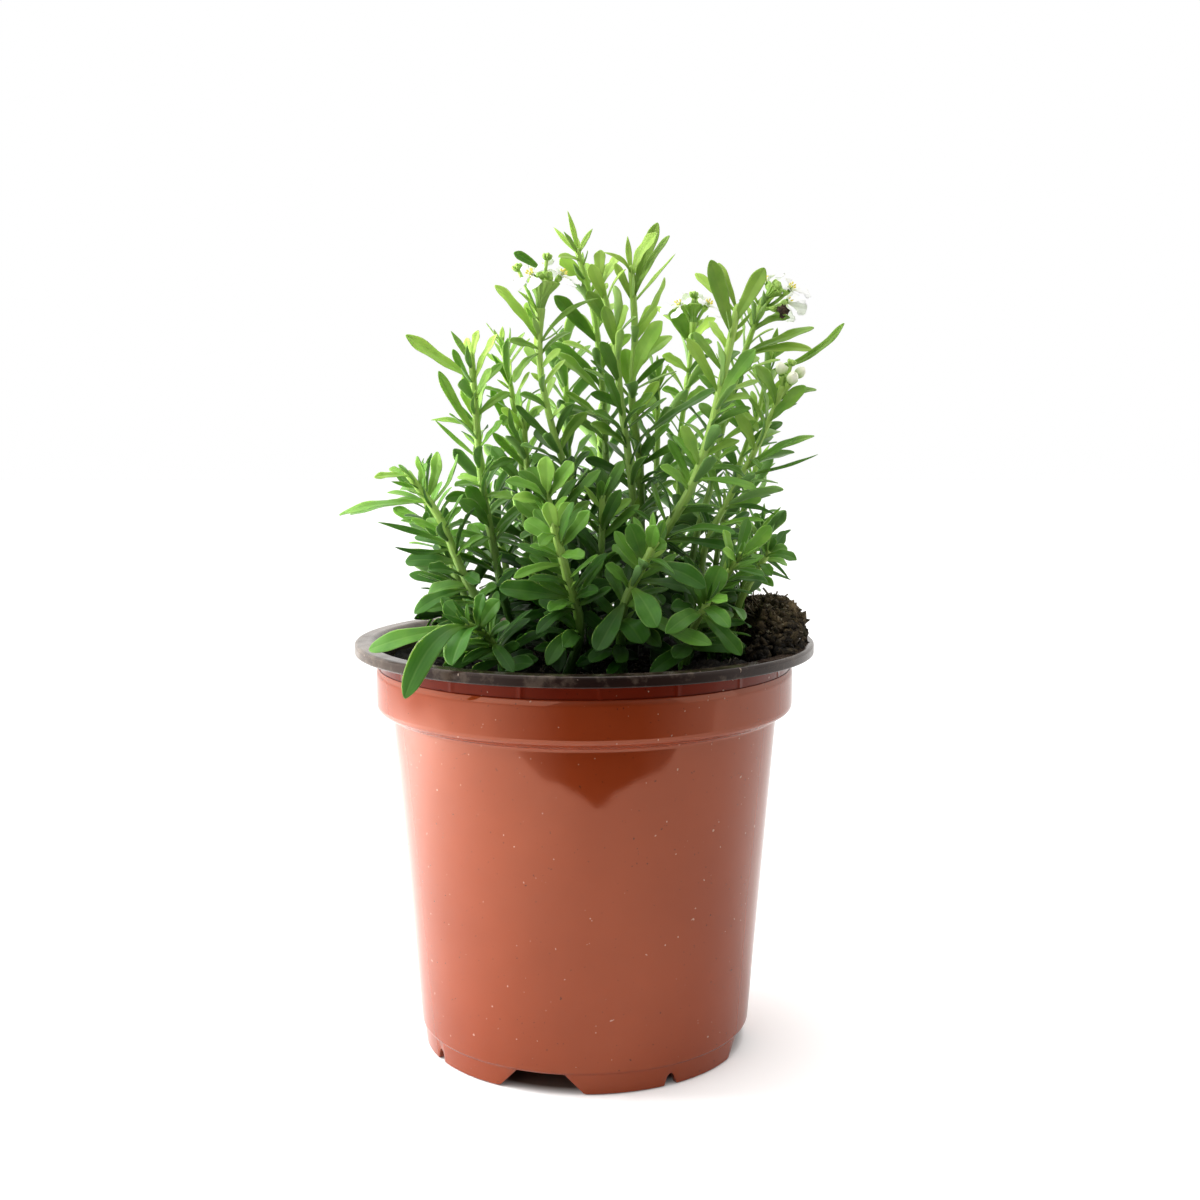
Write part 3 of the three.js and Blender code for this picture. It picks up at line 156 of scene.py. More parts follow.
# Each stem: radius, where it leaves the soil, leaves set by rule, the points it grows through, and
# its shown leaves as (place up the stem, tip offset x y z, width, arch)
STEMS = rows("radius base by_rule knots shown", [
    (1.1, (2, -6), 3,
     [(-1, -8, 145), (-4, -9, 161), (-7, -10, 170), (-10, -11, 181), (-12, -11, 193),
      (-12, -10, 208)],
     [(.91, -12, -4, 15, 3.9, .05), (.9, -4, 7, 12, 3.4, .05), (.89, -8, -7, 2, 3.3, .05),
      (.9, 16, 4, 13, 1.8, .16), (.88, -7, -5, -8, 3, .16), (.63, -11, -4, 10, 3, -.05),
      (.69, 4, -8, 4, 3, .05)]),
    (1.2, (-16, -9), 2,
     [(-22, -12, 128), (-24, -12, 138), (-26, -11, 148), (-28, -10, 159), (-29, -9, 170),
      (-30, -8, 181), (-31, -8, 189), (-31, -8, 196)],
     [(.92, -18, -3, 12, 4.2, -.04), (.97, -6, 4, 9, 1.8, .03), (.97, 2, -1, 9, 2.6, .03),
      (.96, -2, 4, 8, 2.6, .03), (.9, 7, -3, 14, 3.8, .04), (.89, -6, 4, 11, 2.2, -.04),
      (.74, -10, -6, 18, 2.8, -.08), (.79, -4, -2, 9, 2.8, .03), (.78, -9, 5, 8, 1.7, .03),
      (.77, -13, 3, 2, 1.8, .08), (.67, -13, 2, 11, 1.5, -.06), (.8, 9, 6, 7, 2.8, .06),
      (.7, 7, -5, 8, 3.2, .04), (.58, -7, -8, 1, 3.4, .08), (.6, -7, 4, 1, 2.6, .05),
      (.61, 4, -5, 6, 3.4, .03), (.62, 9, 6, 4, 3.2, .1), (.45, -8, -7, 8, 4.6, .12),
      (.47, -6, -1, 10, 4.4, .1), (.55, 8, -6, 0, 3.4, .1), (.42, -5, -6, -2, 4.2, .1)]),
    (.9, (-9, 8), 3,
     [(-16, 12, 137), (-18, 12, 157), (-19, 11, 176), (-21, 10, 186), (-22, 10, 194),
      (-24, 10, 201)],
     [(.9, -7, 3, 5, 1.8, .05), (.85, -5, -4, 9, 2, .03), (.81, -8, -3, 3, 2.2, .08),
      (.77, -3, -5, -4, 4, .1), (.65, -8, -4, 17, 3.4, -.05), (.72, 8, 3, 6, 3, .05),
      (.67, -4, -5, -2, 2.2, .1), (.97, 0, 2, 6, 1.8, .02)]),
    (1.1, (6, 4), 3,
     [(6, 6, 143), (6, 8, 169), (5, 6, 186), (4, 5, 199), (2, 4, 211), (1, 3, 221), (-2, 3, 225)],
     [(1, -3, 0, 12, 1.6, -.04), (.99, -7, 2, 8, 1.5, .03), (1, -4, -3, 6, 1.9, .03),
      (1, 4, -1, 7, 1.9, .03), (.99, -1, 5, 6, 1.7, 0), (.97, -6, -5, 1, 2.6, .1),
      (.89, -8, -6, 10, 4.6, .04), (.77, -12, -5, 13, 4.4, .04), (.64, -13, -9, 12, 5.2, .06),
      (.66, -15, -3, 13, 4, .08), (.58, -11, -5, 8, 3, .05), (.85, 4, 6, 8, 3, .05),
      (.53, -10, -8, 7, 3.6, .08)]),
    (1.2, (14, 4), 3,
     [(16, 6, 143), (16, 4, 161), (14, 1, 178), (13, 1, 189), (14, 0, 200), (14, 0, 211),
      (13, 0, 220)],
     [(.93, 7, 2, 20, 3.6, .02), (.98, 7, -5, 11, 4.6, .1), (.92, 10, -1, 17, 3.2, .04),
      (.91, 12, 5, 14, 1.5, -.03), (1, -1, 2, 10, 1.8, 0), (.98, -8, -3, 6, 1.5, .2),
      (.91, -5, -3, 11, 2.4, .03), (.7, 8, -7, 18, 6, .06), (.67, -2, -8, 14, 5.2, .04),
      (.73, 11, 4, 11, 4.6, .08), (.56, 23, -9, 15, 4.6, .05), (.81, 6, 6, 11, 3.6, .05),
      (.62, 6, 7, 6, 3.6, .06), (.49, 4, -6, 9, 4.2, .04)]),
    (1.2, (10, -5), 3,
     [(14, -8, 145), (13, -7, 161), (11, -5, 178), (9, -3, 189), (8, -1, 203), (6, 0, 212),
      (4, 1, 218)],
     [(.98, 0, 2, 9, 3.4, .03), (.93, -4, -3, 10, 3.8, .03), (.97, 5, -2, 9, 3.6, .05),
      (.85, -7, -6, 11, 4, .04), (.81, -3, -7, 11, 3.6, .02), (.72, -5, -6, 11, 4, .05),
      (.82, 3, 5, 11, 3.6, .05), (.68, -10, -8, 8, 4.2, .08), (.63, -5, -9, 12, 3.8, .03),
      (.55, -10, -8, 7, 4.6, .08), (.61, 8, 5, 9, 4, .06)]),
    (.9, (14, 24), 3,
     [(27, 28, 142), (28, 28, 163), (29, 28, 183), (31, 28, 192), (32, 28, 206)],
     [(.92, 7, -3, 9, 4.4, .1), (.93, -6, -4, 12, 5, .06), (.95, -11, 3, 10, 3, .08),
      (.9, 6, -6, 4, 3.4, .1), (.85, -8, -4, 5, 3.6, .08), (.82, 10, 4, 1, 1.6, .2),
      (.77, -7, -3, 3, 3.2, .1), (.75, 6, -5, 5, 3.8, .06)]),
    (1.4, (20, -12), 2,
     [(19, -16, 139), (21, -17, 145), (26, -17, 153), (30, -16, 162), (33, -14, 170),
      (36, -12, 181), (38, -11, 189), (39, -10, 197), (41, -9, 205), (42, -9, 209)],
     [(.92, -6, -3, 20, 4.8, .03), (.98, -11, 5, 11, 2.8, .05), (.99, -5, 2, 13, 2.4, .08),
      (.95, 8, -2, 15, 4.4, .03), (.88, -5, 5, 8, 3, .05), (.76, -9, -4, 15, 3.6, .03),
      (.73, 10, -7, 15, 4.6, .03), (.82, -8, 5, 11, 2.6, .06), (.67, 6, -8, 6, 4, .1),
      (.62, 5, 6, 3, 3.8, .1), (.56, -5, -6, 11, 4.8, .04), (.52, 17, -4, -2, 3.4, .1),
      (.54, 13, 5, -3, 3, .25), (.34, 23, -9, -3, 4.4, .08), (.49, -8, -5, 7, 3.6, .1),
      (.58, 11, 5, 5, 3, .08)]),
    (1, (30, 2), 3,
     [(30, 0, 138), (35, 0, 155), (38, 1, 172), (42, 1, 188), (45, 1, 197), (47, 1, 204),
      (50, 1, 211)],
     [(.85, 19, -3, 7, 4.4, .03), (.84, 19, -5, 2, 3.4, .08), (.92, 10, -5, 3, 2.8, .1),
      (.91, 10, 3, 8, 3, .04), (.97, 7, -2, 7, 3, .14), (.8, 6, 5, 4, 3, .05),
      (.77, 4, -6, 4, 3.4, .08), (.7, 9, 4, -7, 2.6, .15), (.63, -6, 5, 8, 3.4, .06),
      (.54, 6, -5, 5, 3, .1)]),
    (1, (36, -6), 3,
     [(32, -10, 137), (38, -10, 152), (44, -9, 164), (48, -8, 171), (50, -8, 177), (53, -7, 182),
      (55, -7, 187)],
     [(.87, 10, -3, 10, 4.6, .04), (.95, 11, 2, 3, 2.8, .08), (.71, 19, 3, 8, 2.4, .1),
      (.69, 14, -4, 9, 3.4, .04), (.67, 21, -2, 6, 1.5, -.06), (.61, 14, -6, 10, 3.8, .02),
      (.93, -6, -5, 11, 4.2, .12), (.76, -6, -5, 11, 4.2, .08), (.85, -7, 2, 11, 1.6, .1),
      (.73, 2, -9, -2, 2.6, .1), (.54, 14, -5, -1, 1.8, .15)]),
    (.9, (38, 8), 3,
     [(38, 10, 137), (43, 10, 160), (48, 9, 175), (51, 8, 185), (53, 8, 193), (53, 8, 197)],
     [(.93, 19.6, -15, 13, 2.8, -.1), (.96, 4, 4, 5, 2, .03), (.87, -2, 6, 7, 2.6, .06),
      (.89, 7, 5, 6, 2, .05), (.76, 8, 6, 7, 3, .05), (.66, 11, 5, 7, 3, .08),
      (.57, -4, 6, 8, 3.4, .06)]),
    (1.3, (-22, -16), 1,
     [(-26, -20, 123), (-31, -20, 132), (-35, -19, 142), (-39, -18, 151), (-43, -17, 159),
      (-48, -17, 164)],
     [(.83, -24, -3, -3, 4.4, .06), (.99, -9, -5, 0, 2.4, .06), (.99, -6, 4, 2, 2.2, .05),
      (.87, -1, -5, 11, 3.8, -.06), (.85, 3, 2, 13, 3.8, -.08), (.82, 8, -4, 14, 2.8, -.1),
      (.62, -20, 2, 6, 1.8, .02), (.6, -15, -5, 1, 2, -.12), (.53, -15, 5, 0, 4.6, .06),
      (.46, -9, -8, 3, 6.2, .08), (.4, -15, -5, -6, 5.2, .1), (.42, -12, 5, -4, 4.8, .12),
      (.56, 8, -5, 6, 4, .1), (.69, 7, 3, 2, 3.4, .1), (.47, 5, -9, -1, 3.6, .1),
      (.35, 6, -6, 4, 4.2, .1)]),
    (1.2, (-20, -28), 2,
     [(-25, -34, 121), (-28, -39, 124), (-30, -42, 126)],
     [(.95, -27, 4, -7, 5.2, .14), (.87, -16, -19, -15, 6.6, .3), (.7, -6, -19, -7, 8, .24),
      (.96, -12, 2, -3, 2.4, .1), (.77, 6, -5, 9, 5, .05), (.84, -8, 1, 7, 4.6, .1)]),
    (1.4, (-4, -24), 3,
     [(-1, -30, 123), (-3, -33, 131), (-5, -35, 141), (-7, -36, 148), (-8, -36, 152)],
     [(.84, 8, -3, 10, 4.4, -.03), (.92, -4, -8, -2, 3.6, .1), (.8, 6, -8, 0, 4.6, .1),
      (.74, -13, -4, -3, 2.8, .1), (.53, -19, -4, 3, 6.4, .03), (.49, -6, -8, -1, 5.2, .12),
      (.52, 7, -6, 3, 4, .1), (.46, -10, -6, -6, 3.6, .2), (.94, -2, -3, 8, 4, .03),
      (.86, -9, 3, 6, 4.6, .1), (.95, 4, 3, 7, 3.8, .03)]),
    (1.2, (-8, -12), 2,
     [(-6, -20, 135), (-7, -22, 147), (-9, -23, 155), (-10, -23, 159)],
     [(.98, 0, -2, 11, 5.4, .03), (.96, 7, -3, 10, 5.6, .05), (.97, -5, 3, 8, 4.4, .04),
      (.93, -8, -4, 9, 4.4, .08), (.91, -11, -6, 8, 4, .12), (.89, -10, -5, 4, 4.6, .15),
      (.85, 13, 3, 13, 3.6, .04), (.79, -9, -6, -2, 4.6, .12), (.74, 9, 3, 10, 4, .06),
      (.76, -6, -8, -2, 4.8, .15)]),
    (1.4, (10, -26), 2,
     [(10, -32, 126), (12, -34, 133), (15, -35, 139), (17, -36, 144), (19, -36, 147)],
     [(.82, -4, -3, 11, 5.6, .04), (.93, 1, -3, 7, 4.4, .03), (.93, 4, -6, 2, 3.8, .1),
      (.81, 16, -5, -5, 5.8, .14), (.86, 7, -8, -3, 2, .15), (.68, 18, 2, -4, 5.2, .12),
      (.65, 6, -12, -9, 6.4, .1), (.54, 22, -10, -10, 4.8, -.05), (.55, -8, -10, -12, 6.2, .06),
      (.4, 5, -18, -5, 8, .2), (.36, 10, -14, -5, 4.4, .2), (.76, -7, 5, 7, 4.8, .08),
      (.63, -7, -4, 7, 4.4, .08)]),
    (1.1, (40, -6), 3,
     [(42, -10, 123), (45, -12, 133), (49, -12, 140), (51, -12, 142)],
     [(.94, 8, -6, 0, 3.4, .16), (1, 6, 2, 2, 3, .12), (.98, 2, -2, 5, 3.6, .1),
      (.94, -3, -5, 5, 3.4, .1), (.87, 2, -9, -2, 3, .12), (.92, 7, 5, -2, 2.4, .1),
      (.73, 5, -7, -1, 3, .15), (.84, -5, -6, 3, 3.4, .1)]),
    (.9, (40, 12), 3,
     [(45, 13, 126), (49, 13, 138), (51, 13, 147)],
     [(.73, 10, -5, -7, 1.5, .12), (.58, 12, -3, -3, 1.5, .06), (.89, 3, -4, 2, 2.6, .08),
      (.96, -1, 2, 5, 2.4, .05), (.89, -3, 4, 4, 2.8, .08), (.77, 5, 5, 2, 2, .08)]),
    (1.2, (27, -25), 1,
     [(28, -30, 120), (31, -32, 127), (33, -33, 131)],
     [(.81, 10, -8, -12, 4.6, .1), (.94, 4, 2, 10, 6.4, .06), (.97, 5, -8, 2, 4.2, .12),
      (.87, 6, -13, -3, 4.4, .15), (.77, -8, -6, 3, 5, .12), (.93, -4, -4, 7, 4.8, .08),
      (.81, -10, -12, -3, 4.8, .15)]),
    (1, (-2, 16), 13,
     [(-3, 18, 140), (-5, 20, 170), (-6, 21, 202)], []),
    (1.1, (6, 30), 10,
     [(6, 36, 135), (5, 42, 155), (4, 46, 176)], []),
    (1.1, (22, 34), 9,
     [(27, 40, 132), (32, 45, 150), (35, 47, 168)], []),
    (1.1, (-20, 20), 9,
     [(-24, 26, 135), (-29, 31, 155), (-33, 34, 172)], []),
    (1.1, (34, 24), 9,
     [(41, 29, 132), (48, 33, 150), (52, 35, 164)], []),
    (1.1, (-28, -2), 5,
     [(-35, 2, 130), (-42, 5, 146), (-47, 7, 158)],
     [(.93, -23.8, 15, -5, 3.8, .05)]),
    (1.1, (-12, 32), 9,
     [(-16, 39, 132), (-21, 45, 148), (-24, 48, 162)], []),
    (1, (14, 14), 11,
     [(19, 17, 140), (21, 18, 165), (21, 17, 190)], []),
    (1.2, (-32, 16), 6,
     [(-36, 22, 124), (-41, 27, 134), (-44, 30, 142)], []),
    (1.2, (6, 44), 6,
     [(8, 49, 126), (10, 53, 136), (11, 55, 144)], []),
    (1, (-10, 0), 11,
     [(-14, -1, 140), (-16, 0, 162), (-17, 0, 178)], []),
    (1.1, (1, -15), 11,
     [(3, -18, 130), (5, -20, 146), (5, -21, 158)], []),
    (1.1, (28, -13), 8,
     [(33, -19, 126), (39, -25, 136), (42, -29, 143)], []),
])

# Open flowers: name, stem, eye offset from the stem's tip, facing
FLOWERS = rows("name stem offset faces", [
    ("flower_1", 0, (-2, -4, 9), (-.35, -.75, .55)),
    ("flower_2", 0, (6, -2, 9), (.6, -.35, .7)),
    ("flower_3", 0, (1, 5, 11), (-.1, .65, .75)),
    ("flower_4", 8, (7, -3, 3), (.55, -.55, .6)),
    ("flower_5", 8, (1, 2, 5), (-.3, .2, .9)),
    ("flower_6", 8, (7, 6, 0), (.6, .7, .3)),
    ("flower_7", 6, (-4, -3, 5), (-.5, -.6, .6)),
    ("flower_8", 6, (4, -2, 5), (.5, -.5, .7)),
    ("flower_9", 6, (0, 5, 6), (0, .7, .7)),
])
# Closed buds: name or None for a green one, stem, offset from the stem's tip, radius, stretch
BUDS = rows("name stem offset radius stretch", [
    ("white_bud_1", 9, (-1, -2, 5), 1.5, BUD_STRETCH),
    ("white_bud_2", 9, (2, -4, 2.5), 1.6, BUD_STRETCH),
    ("white_bud_3", 9, (4.5, 0, 4), 1.5, BUD_STRETCH),
    ("white_bud_4", 9, (.5, 2.5, 4.5), 1.3, BUD_STRETCH),
    (None, 0, (-6, 0, 11), 1.3, BUD_STRETCH),
    (None, 0, (2, 1, 14), 1.2, BUD_STRETCH),
    (None, 8, (4, 1, 3), 1.2, BUD_STRETCH),
    (None, 9, (2, -1, 6.5), 1.1, BUD_STRETCH),
    (None, 6, (0, 0, 8), 1.2, BUD_STRETCH),
    ("withered_flower", 8, (5, -5, -3), 1.5, 1.7),
])
# Heads with packed stalks: stem, lean, size, small buds on top
HEADS = rows("stem lean size buds", [
    (0, (1.2, -0.3, 9), 1.0, 12), (6, (0, 0, 1), 0.7, 7),
    (8, (4, -1, 4), 0.62, 8), (9, (2, -1, 4), 0.42, 0),
])
BEARING = {head.stem for head in HEADS}
# A head's funnel: heights over the stem's tip and radii there, for size 1
FUNNEL = [(-2.5, 0.95), (0.5, 1.05), (2.4, 1.3), (3.9, 1.9), (5.2, 2.8), (6.4, 3.7), (7.4, 4.3),
          (7.7, 4.1), (7.9, 2.8), (8.05, 1.0)]
FUNNEL_RIBS = 14
# Small leaves among the flowers: stem, root from the stem's tip, chord, width
HEAD_LEAVES = rows("stem root chord width", [(0, (0.4, -1.5, 10.5), (-7.2, -1.5, 4.4), 2.7)])

# Young leaves in the order in which they are set. A leaf's place up the stem, lean in radians,
# length, width and arch are drawn between two limits each. Then: how much more it leans and grows
# at the stem's foot, the share of it that may lie among its own stem's leaves, and its own room
YOUNG = rows("kind rounds share lean length width arch more_lean more_length free room", [
    ("tip", 7, (0.9, 0.985), (0.15, 0.8), (5, 10), (1.3, 2.4), (-0.08, 0.1), 0, 0, 0.45, 0.65),
    ("skirt", 9, (0.02, 0.22), (1.1, 1.9), (9, 17), (2.8, 5.6), (0.05, 0.25), 0, 0, 0.45, 0.65),
    ("body", 24, (0.16, 0.93), (0.55, 1), (8, 13), (2.2, 3.8), (0, 0.12), 0.45, 5, 0.3, 0.9),
    ("tuft", 7, (0.3, 0.9), (0.35, 0.8), (4, 7), (1, 1.9), (-0.05, 0.1), 0, 0, 0.45, 0.65),
])
YOUNG_TRIES = 4
# The skirt's leaves reach this far up from the soil, past the share of the stem in the table
SKIRT_REACH = 6
# Leaves at the tip of a stem with flowers lean out more than this
STEEP = 0.6
TUFT_FRESHER = 0.25
# Limits for young leaves: aside, to the front or back, and upwards
YOUNG_REACH = (71.0, 64.5)
YOUNG_TOP = 234.5
# No young leaf covers the heap at the right: past this x, in front of this y, below this z
BARE_HEAP = (46, 14, 136)
OVER_RIM = 0.7
OVER_SOIL = 0.8
BESIDE_RIM = 0.8
# How near other leaves may come to a stem or bud, and to a leaf or flower
STEM_ROOM = 1.25
LEAF_ROOM = 0.9
PETAL_OWNER = 900
BUD_OWNER = 901

# ------ peat and pot moulding

PEAT_RINGS = 80
PEAT_SIDES = 216
OPEN_PATCH = (-42, -18)
# A pale root crosses the open patch on the left: start, and how far it goes
ROOT_START = (-50, -23)
ROOT_WAY = (13, -4)
SPILL_WIDTH = 17
CORNER_STEPS = 4
LONGEST_STEP = 6
RIB_GAP = 20
RIB_WIDE = 0.5
RIB_NARROW = 0.22
RIB_HEIGHT = 0.12

# ------ small mathematics


def vec(*numbers):
    return np.array(numbers if len(numbers) > 1 else numbers[0], float)


def unit(v):
    return v / np.linalg.norm(v)


def mix(a, b, t):
    return a + (b - a) * t


def chance(*keys):
    """A number from 0 to 1 that depends only on the whole numbers it is given."""
    state = 2166136261
    for key in keys:
        state = (state ^ key) * 16777619 & 0xFFFFFFFF
        state ^= state >> 13
        state = state * 1540483477 & 0xFFFFFFFF
        state ^= state >> 15
    return state / 4294967296


def soil_top(x, y):
    """Height of the CAD's soil surface; x and y may be arrays."""
    height = SOIL_LEVEL + 0 * x
    for heap_x, heap_y, rise, reach in HEAPS:
        height = height + rise * np.exp(-(np.hypot(x - heap_x, y - heap_y) / reach) ** 3)
    height = height + 0.5 * np.sin(x * 0.55 + 1.3) * np.cos(y * 0.5 - 0.7)
    return height + 0.35 * np.sin(x * 1.1 - y * 0.9)


def sideways(heading):
    """Two ways across a heading."""
    first = unit(vec(1, 0, 0) - heading * heading[0])
    return first, np.cross(first, heading)


def round_way(first, second, turn):
    """The way at a turn from the first of two ways to the second."""
    return first * math.cos(turn) + second * math.sin(turn)


def lengths_of(points):
    """The length of a polyline up to each of its points."""
    lengths = [0.0]
    for before, after in zip(points, points[1:]):
        lengths.append(lengths[-1] + float(np.linalg.norm(after - before)))
    return lengths


class Curve:
    """A centripetal Catmull-Rom curve, with even steps along its length."""

    def __init__(self, knots, divisions):
        self.knots = [vec(knot) for knot in knots]
        last = len(self.knots) - 1
        self.knots = [2 * self.knots[0] - self.knots[1], *self.knots,
                      2 * self.knots[last] - self.knots[last - 1]]
        self.lengths = lengths_of([self.at(i / divisions) for i in range(divisions + 1)])

    def at(self, t):
        spans = len(self.knots) - 3
        place = min(t, 1) * spans
        span = min(int(place), spans - 1)
        return self.on_span(span, place - span)

    def on_span(self, span, w):
        p0, p1, p2, p3 = self.knots[span:span + 4]
        d0, d1, d2 = (math.sqrt(np.linalg.norm(b - a)) for a, b in ((p0, p1), (p1, p2), (p2, p3)))
        d1 = d1 if d1 > 1e-4 else 1.0
        d0 = d0 if d0 > 1e-4 else d1
        d2 = d2 if d2 > 1e-4 else d1
        # Slopes at both ends of the span, then the cubic between them
        t1 = ((p1 - p0) / d0 - (p2 - p0) / (d0 + d1) + (p2 - p1) / d1) * d1
        t2 = ((p2 - p1) / d1 - (p3 - p1) / (d1 + d2) + (p3 - p2) / d2) * d1
        c2 = -3 * p1 + 3 * p2 - 2 * t1 - t2
        c3 = 2 * p1 - 2 * p2 + t1 + t2
        return p1 + w * (t1 + w * (c2 + w * c3))

    def spaced(self, count):
        """count + 1 points at even steps of length."""
        points = []
        for i in range(count + 1):
            target = self.lengths[-1] * i / count
            low = min(max(bisect.bisect_right(self.lengths, target) - 1, 0), len(self.lengths) - 2)
            part = (target - self.lengths[low]) / (self.lengths[low + 1] - self.lengths[low])
            points.append(self.at((low + part) / (len(self.lengths) - 1)))
        return points


class Path:
    """A stem: the polyline that the CAD's leaves stand on, and the smooth curve through it."""

    def __init__(self, base, knots):
        ground = float(soil_top(base[0], base[1]))
        self.foot = vec(base[0], base[1], ground - STEM_DEPTH)
        knots = [(base[0], base[1], ground + 1), *knots]
        curve = Curve(knots, len(knots) * PATH_STEPS)
        self.points = curve.spaced(max(2, int(curve.lengths[-1] / RING_STEP + 0.5)))
        self.lengths = lengths_of(self.points)
        self.total = self.lengths[-1]
        self.smooth = Curve(self.points, 2)

    def find(self, share):
        """The step that a share of the stem's length is on, and how far along it."""
        target, i = self.total * share, 1
        while i < len(self.points) - 1 and self.lengths[i] < target:
            i += 1
        return i, (target - self.lengths[i - 1]) / (self.lengths[i] - self.lengths[i - 1])

    def along(self, share):
        """Place and heading at a share of the stem's length, on the CAD's polyline."""
        i, part = self.find(share)
        low, high = self.points[i - 1], self.points[i]
        return low + (high - low) * part, unit(high - low)

    def fine(self, share):
        """Place at a share of the stem's length on the smooth curve."""
        i, part = self.find(share)
        return self.smooth.on_span(i - 1, part)

    def tip(self):
        return self.along(1)[0]


# ------ meshes


class Shape:
    """Vertices, faces and values at the vertices, gathered into one piece."""

    def __init__(self):
        self.points, self.blade, self.tone = [], [], []
        self.quads, self.quad_kind, self.tris, self.tri_kind = [], [], [], []
        self.count = 0

    def add_rings(self, rings, ends, values=None, tone=(0, 0, 0), kind=0, turned=True):
        """A closed tube of rings with a middle at each end, and values at its vertices."""
        points = np.concatenate([rings.reshape(-1, 3), ends])
        blade = np.zeros(points.shape)
        if values is not None:
            blade[:-2], blade[-1] = values.reshape(-1, 3), (1, 0, 0)
        self.points.append(points)
        self.blade.append(blade)
        self.tone.append(np.broadcast_to(np.array(tone, float), points.shape))
        quads, tris = lattice(*rings.shape[:2])
        for faces, kinds, new in ((self.quads, self.quad_kind, quads),
                                  (self.tris, self.tri_kind, tris)):
            faces.append((new[:, ::-1] if turned else new) + self.count)
            kinds.append(np.full(len(new), kind))
        self.count += len(points)

    def make(self, name, materials, slot, nodes=()):
        """The piece as an object that rides on the frame and stands for its CAD nodes."""
        points = np.concatenate(self.points) * MM
        quads, tris = np.concatenate(self.quads), np.concatenate(self.tris)
        kinds = np.concatenate([*self.quad_kind, *self.tri_kind])
        mesh = bpy.data.meshes.new(name)
        mesh.vertices.add(len(points))
        mesh.vertices.foreach_set("co", points.astype(np.float32).ravel())
        mesh.loops.add(quads.size + tris.size)
        mesh.loops.foreach_set("vertex_index", np.concatenate([quads.ravel(), tris.ravel()]))
        starts = np.concatenate([np.arange(len(quads)) * 4, quads.size + np.arange(len(tris)) * 3])
        mesh.polygons.add(len(starts))
        mesh.polygons.foreach_set("loop_start", starts)
        mesh.polygons.foreach_set("material_index", kinds)
        mesh.polygons.foreach_set("use_smooth", np.ones(len(starts), bool))
        for label, values in (("blade", self.blade), ("tone", self.tone)):
            layer = mesh.attributes.new(label, "FLOAT_VECTOR", "POINT")
            layer.data.foreach_set("vector", np.concatenate(values).astype(np.float32).ravel())
        mesh.update(calc_edges=True)
        if mesh.validate():
            raise RuntimeError(f"{name} has broken faces")
        for material in materials:
            mesh.materials.append(material)
        return place(bpy.data.objects.new(name, mesh), slot, nodes)


def place(piece, slot, nodes=()):
    """Links a piece, rides it on the body and hides the CAD nodes that it stands for."""
    bpy.context.scene.collection.objects.link(piece)
    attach(piece, BODY)
    if nodes:
        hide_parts(*nodes)
    return piece


def lattice(rows, columns):
    """Faces of a closed tube of rings, with a fan to one more vertex at each end."""
    row, column = np.meshgrid(np.arange(rows - 1), np.arange(columns), indexing="ij")
    after = (column + 1) % columns
    quads = np.stack([row * columns + column, row * columns + after,
                      (row + 1) * columns + after, (row + 1) * columns + column], -1)
    ring = np.arange(columns)
    turn = (ring + 1) % columns
    start = np.stack([turn, ring, np.full(columns, rows * columns)], -1)
    top = (rows - 1) * columns
    end = np.stack([top + ring, top + turn, np.full(columns, rows * columns + 1)], -1)
    return quads.reshape(-1, 4), np.concatenate([start, end])


def tube(shape, points, radii, sides, tone, kind=0, ridges=0, depth=0.08):
    """A round or ridged bar through points; blade holds its share of length and its turn."""
    points, radii = np.asarray(points, float), np.asarray(radii, float)
    heading = np.gradient(points, axis=0)
    heading /= np.linalg.norm(heading, axis=1)[:, None]
    first = vec(1, 0, 0) - heading * heading[:, :1]
    first /= np.linalg.norm(first, axis=1)[:, None]
    second = np.cross(first, heading)
    turn = np.arange(sides) * 2 * math.pi / sides
    shares = np.linspace(0, 1, len(points))
    reach = radii[:, None] * (1 + depth * np.cos(ridges * turn) * (ridges > 0))
    rings = (points[:, None] + first[:, None] * (reach * np.cos(turn))[..., None]
             + second[:, None] * (reach * np.sin(turn))[..., None])
    blade = np.stack([*np.meshgrid(shares, turn, indexing="ij"), np.zeros(reach.shape)], -1)
    caps = np.stack([points[0] - heading[0] * radii[0] * 0.3,
                     points[-1] + heading[-1] * radii[-1] * 0.6])
    shape.add_rings(rings, caps, blade, tone, kind)


def bend_points(start, bend, end, count):
    """Points on a quadratic curve."""
    t = np.linspace(0, 1, count)[:, None]
    return start * (1 - t) ** 2 + 2 * bend * t * (1 - t) + end * t ** 2


def orb(shape, centre, axis, radius, stretch, tone, kind=0, rings=10, sides=14, dent=None):
    """A ball drawn out along an axis; blade.x runs along it and blade.y round it."""
    axis = unit(vec(axis))
    first, second = sideways(axis)
    lift = np.linspace(-1, 1, rings + 2)[1:-1] * math.pi / 2
    turn = np.arange(sides) * 2 * math.pi / sides
    lift, turn = np.meshgrid(lift, turn, indexing="ij")
    ways = (first * (np.cos(lift) * np.cos(turn))[..., None]
            + second * (np.cos(lift) * np.sin(turn))[..., None]
            + axis * (np.sin(lift) * stretch)[..., None])
    reach = radius * (1 if dent is None else dent(lift, turn))
    points = centre + ways * (reach * np.ones(lift.shape))[..., None]
    ends = np.stack([centre - axis * radius * stretch, centre + axis * radius * stretch])
    blade = np.stack([(np.sin(lift) + 1) / 2, turn, np.zeros(lift.shape)], -1)
    shape.add_rings(points, ends, blade, tone, kind)


# ------ blades


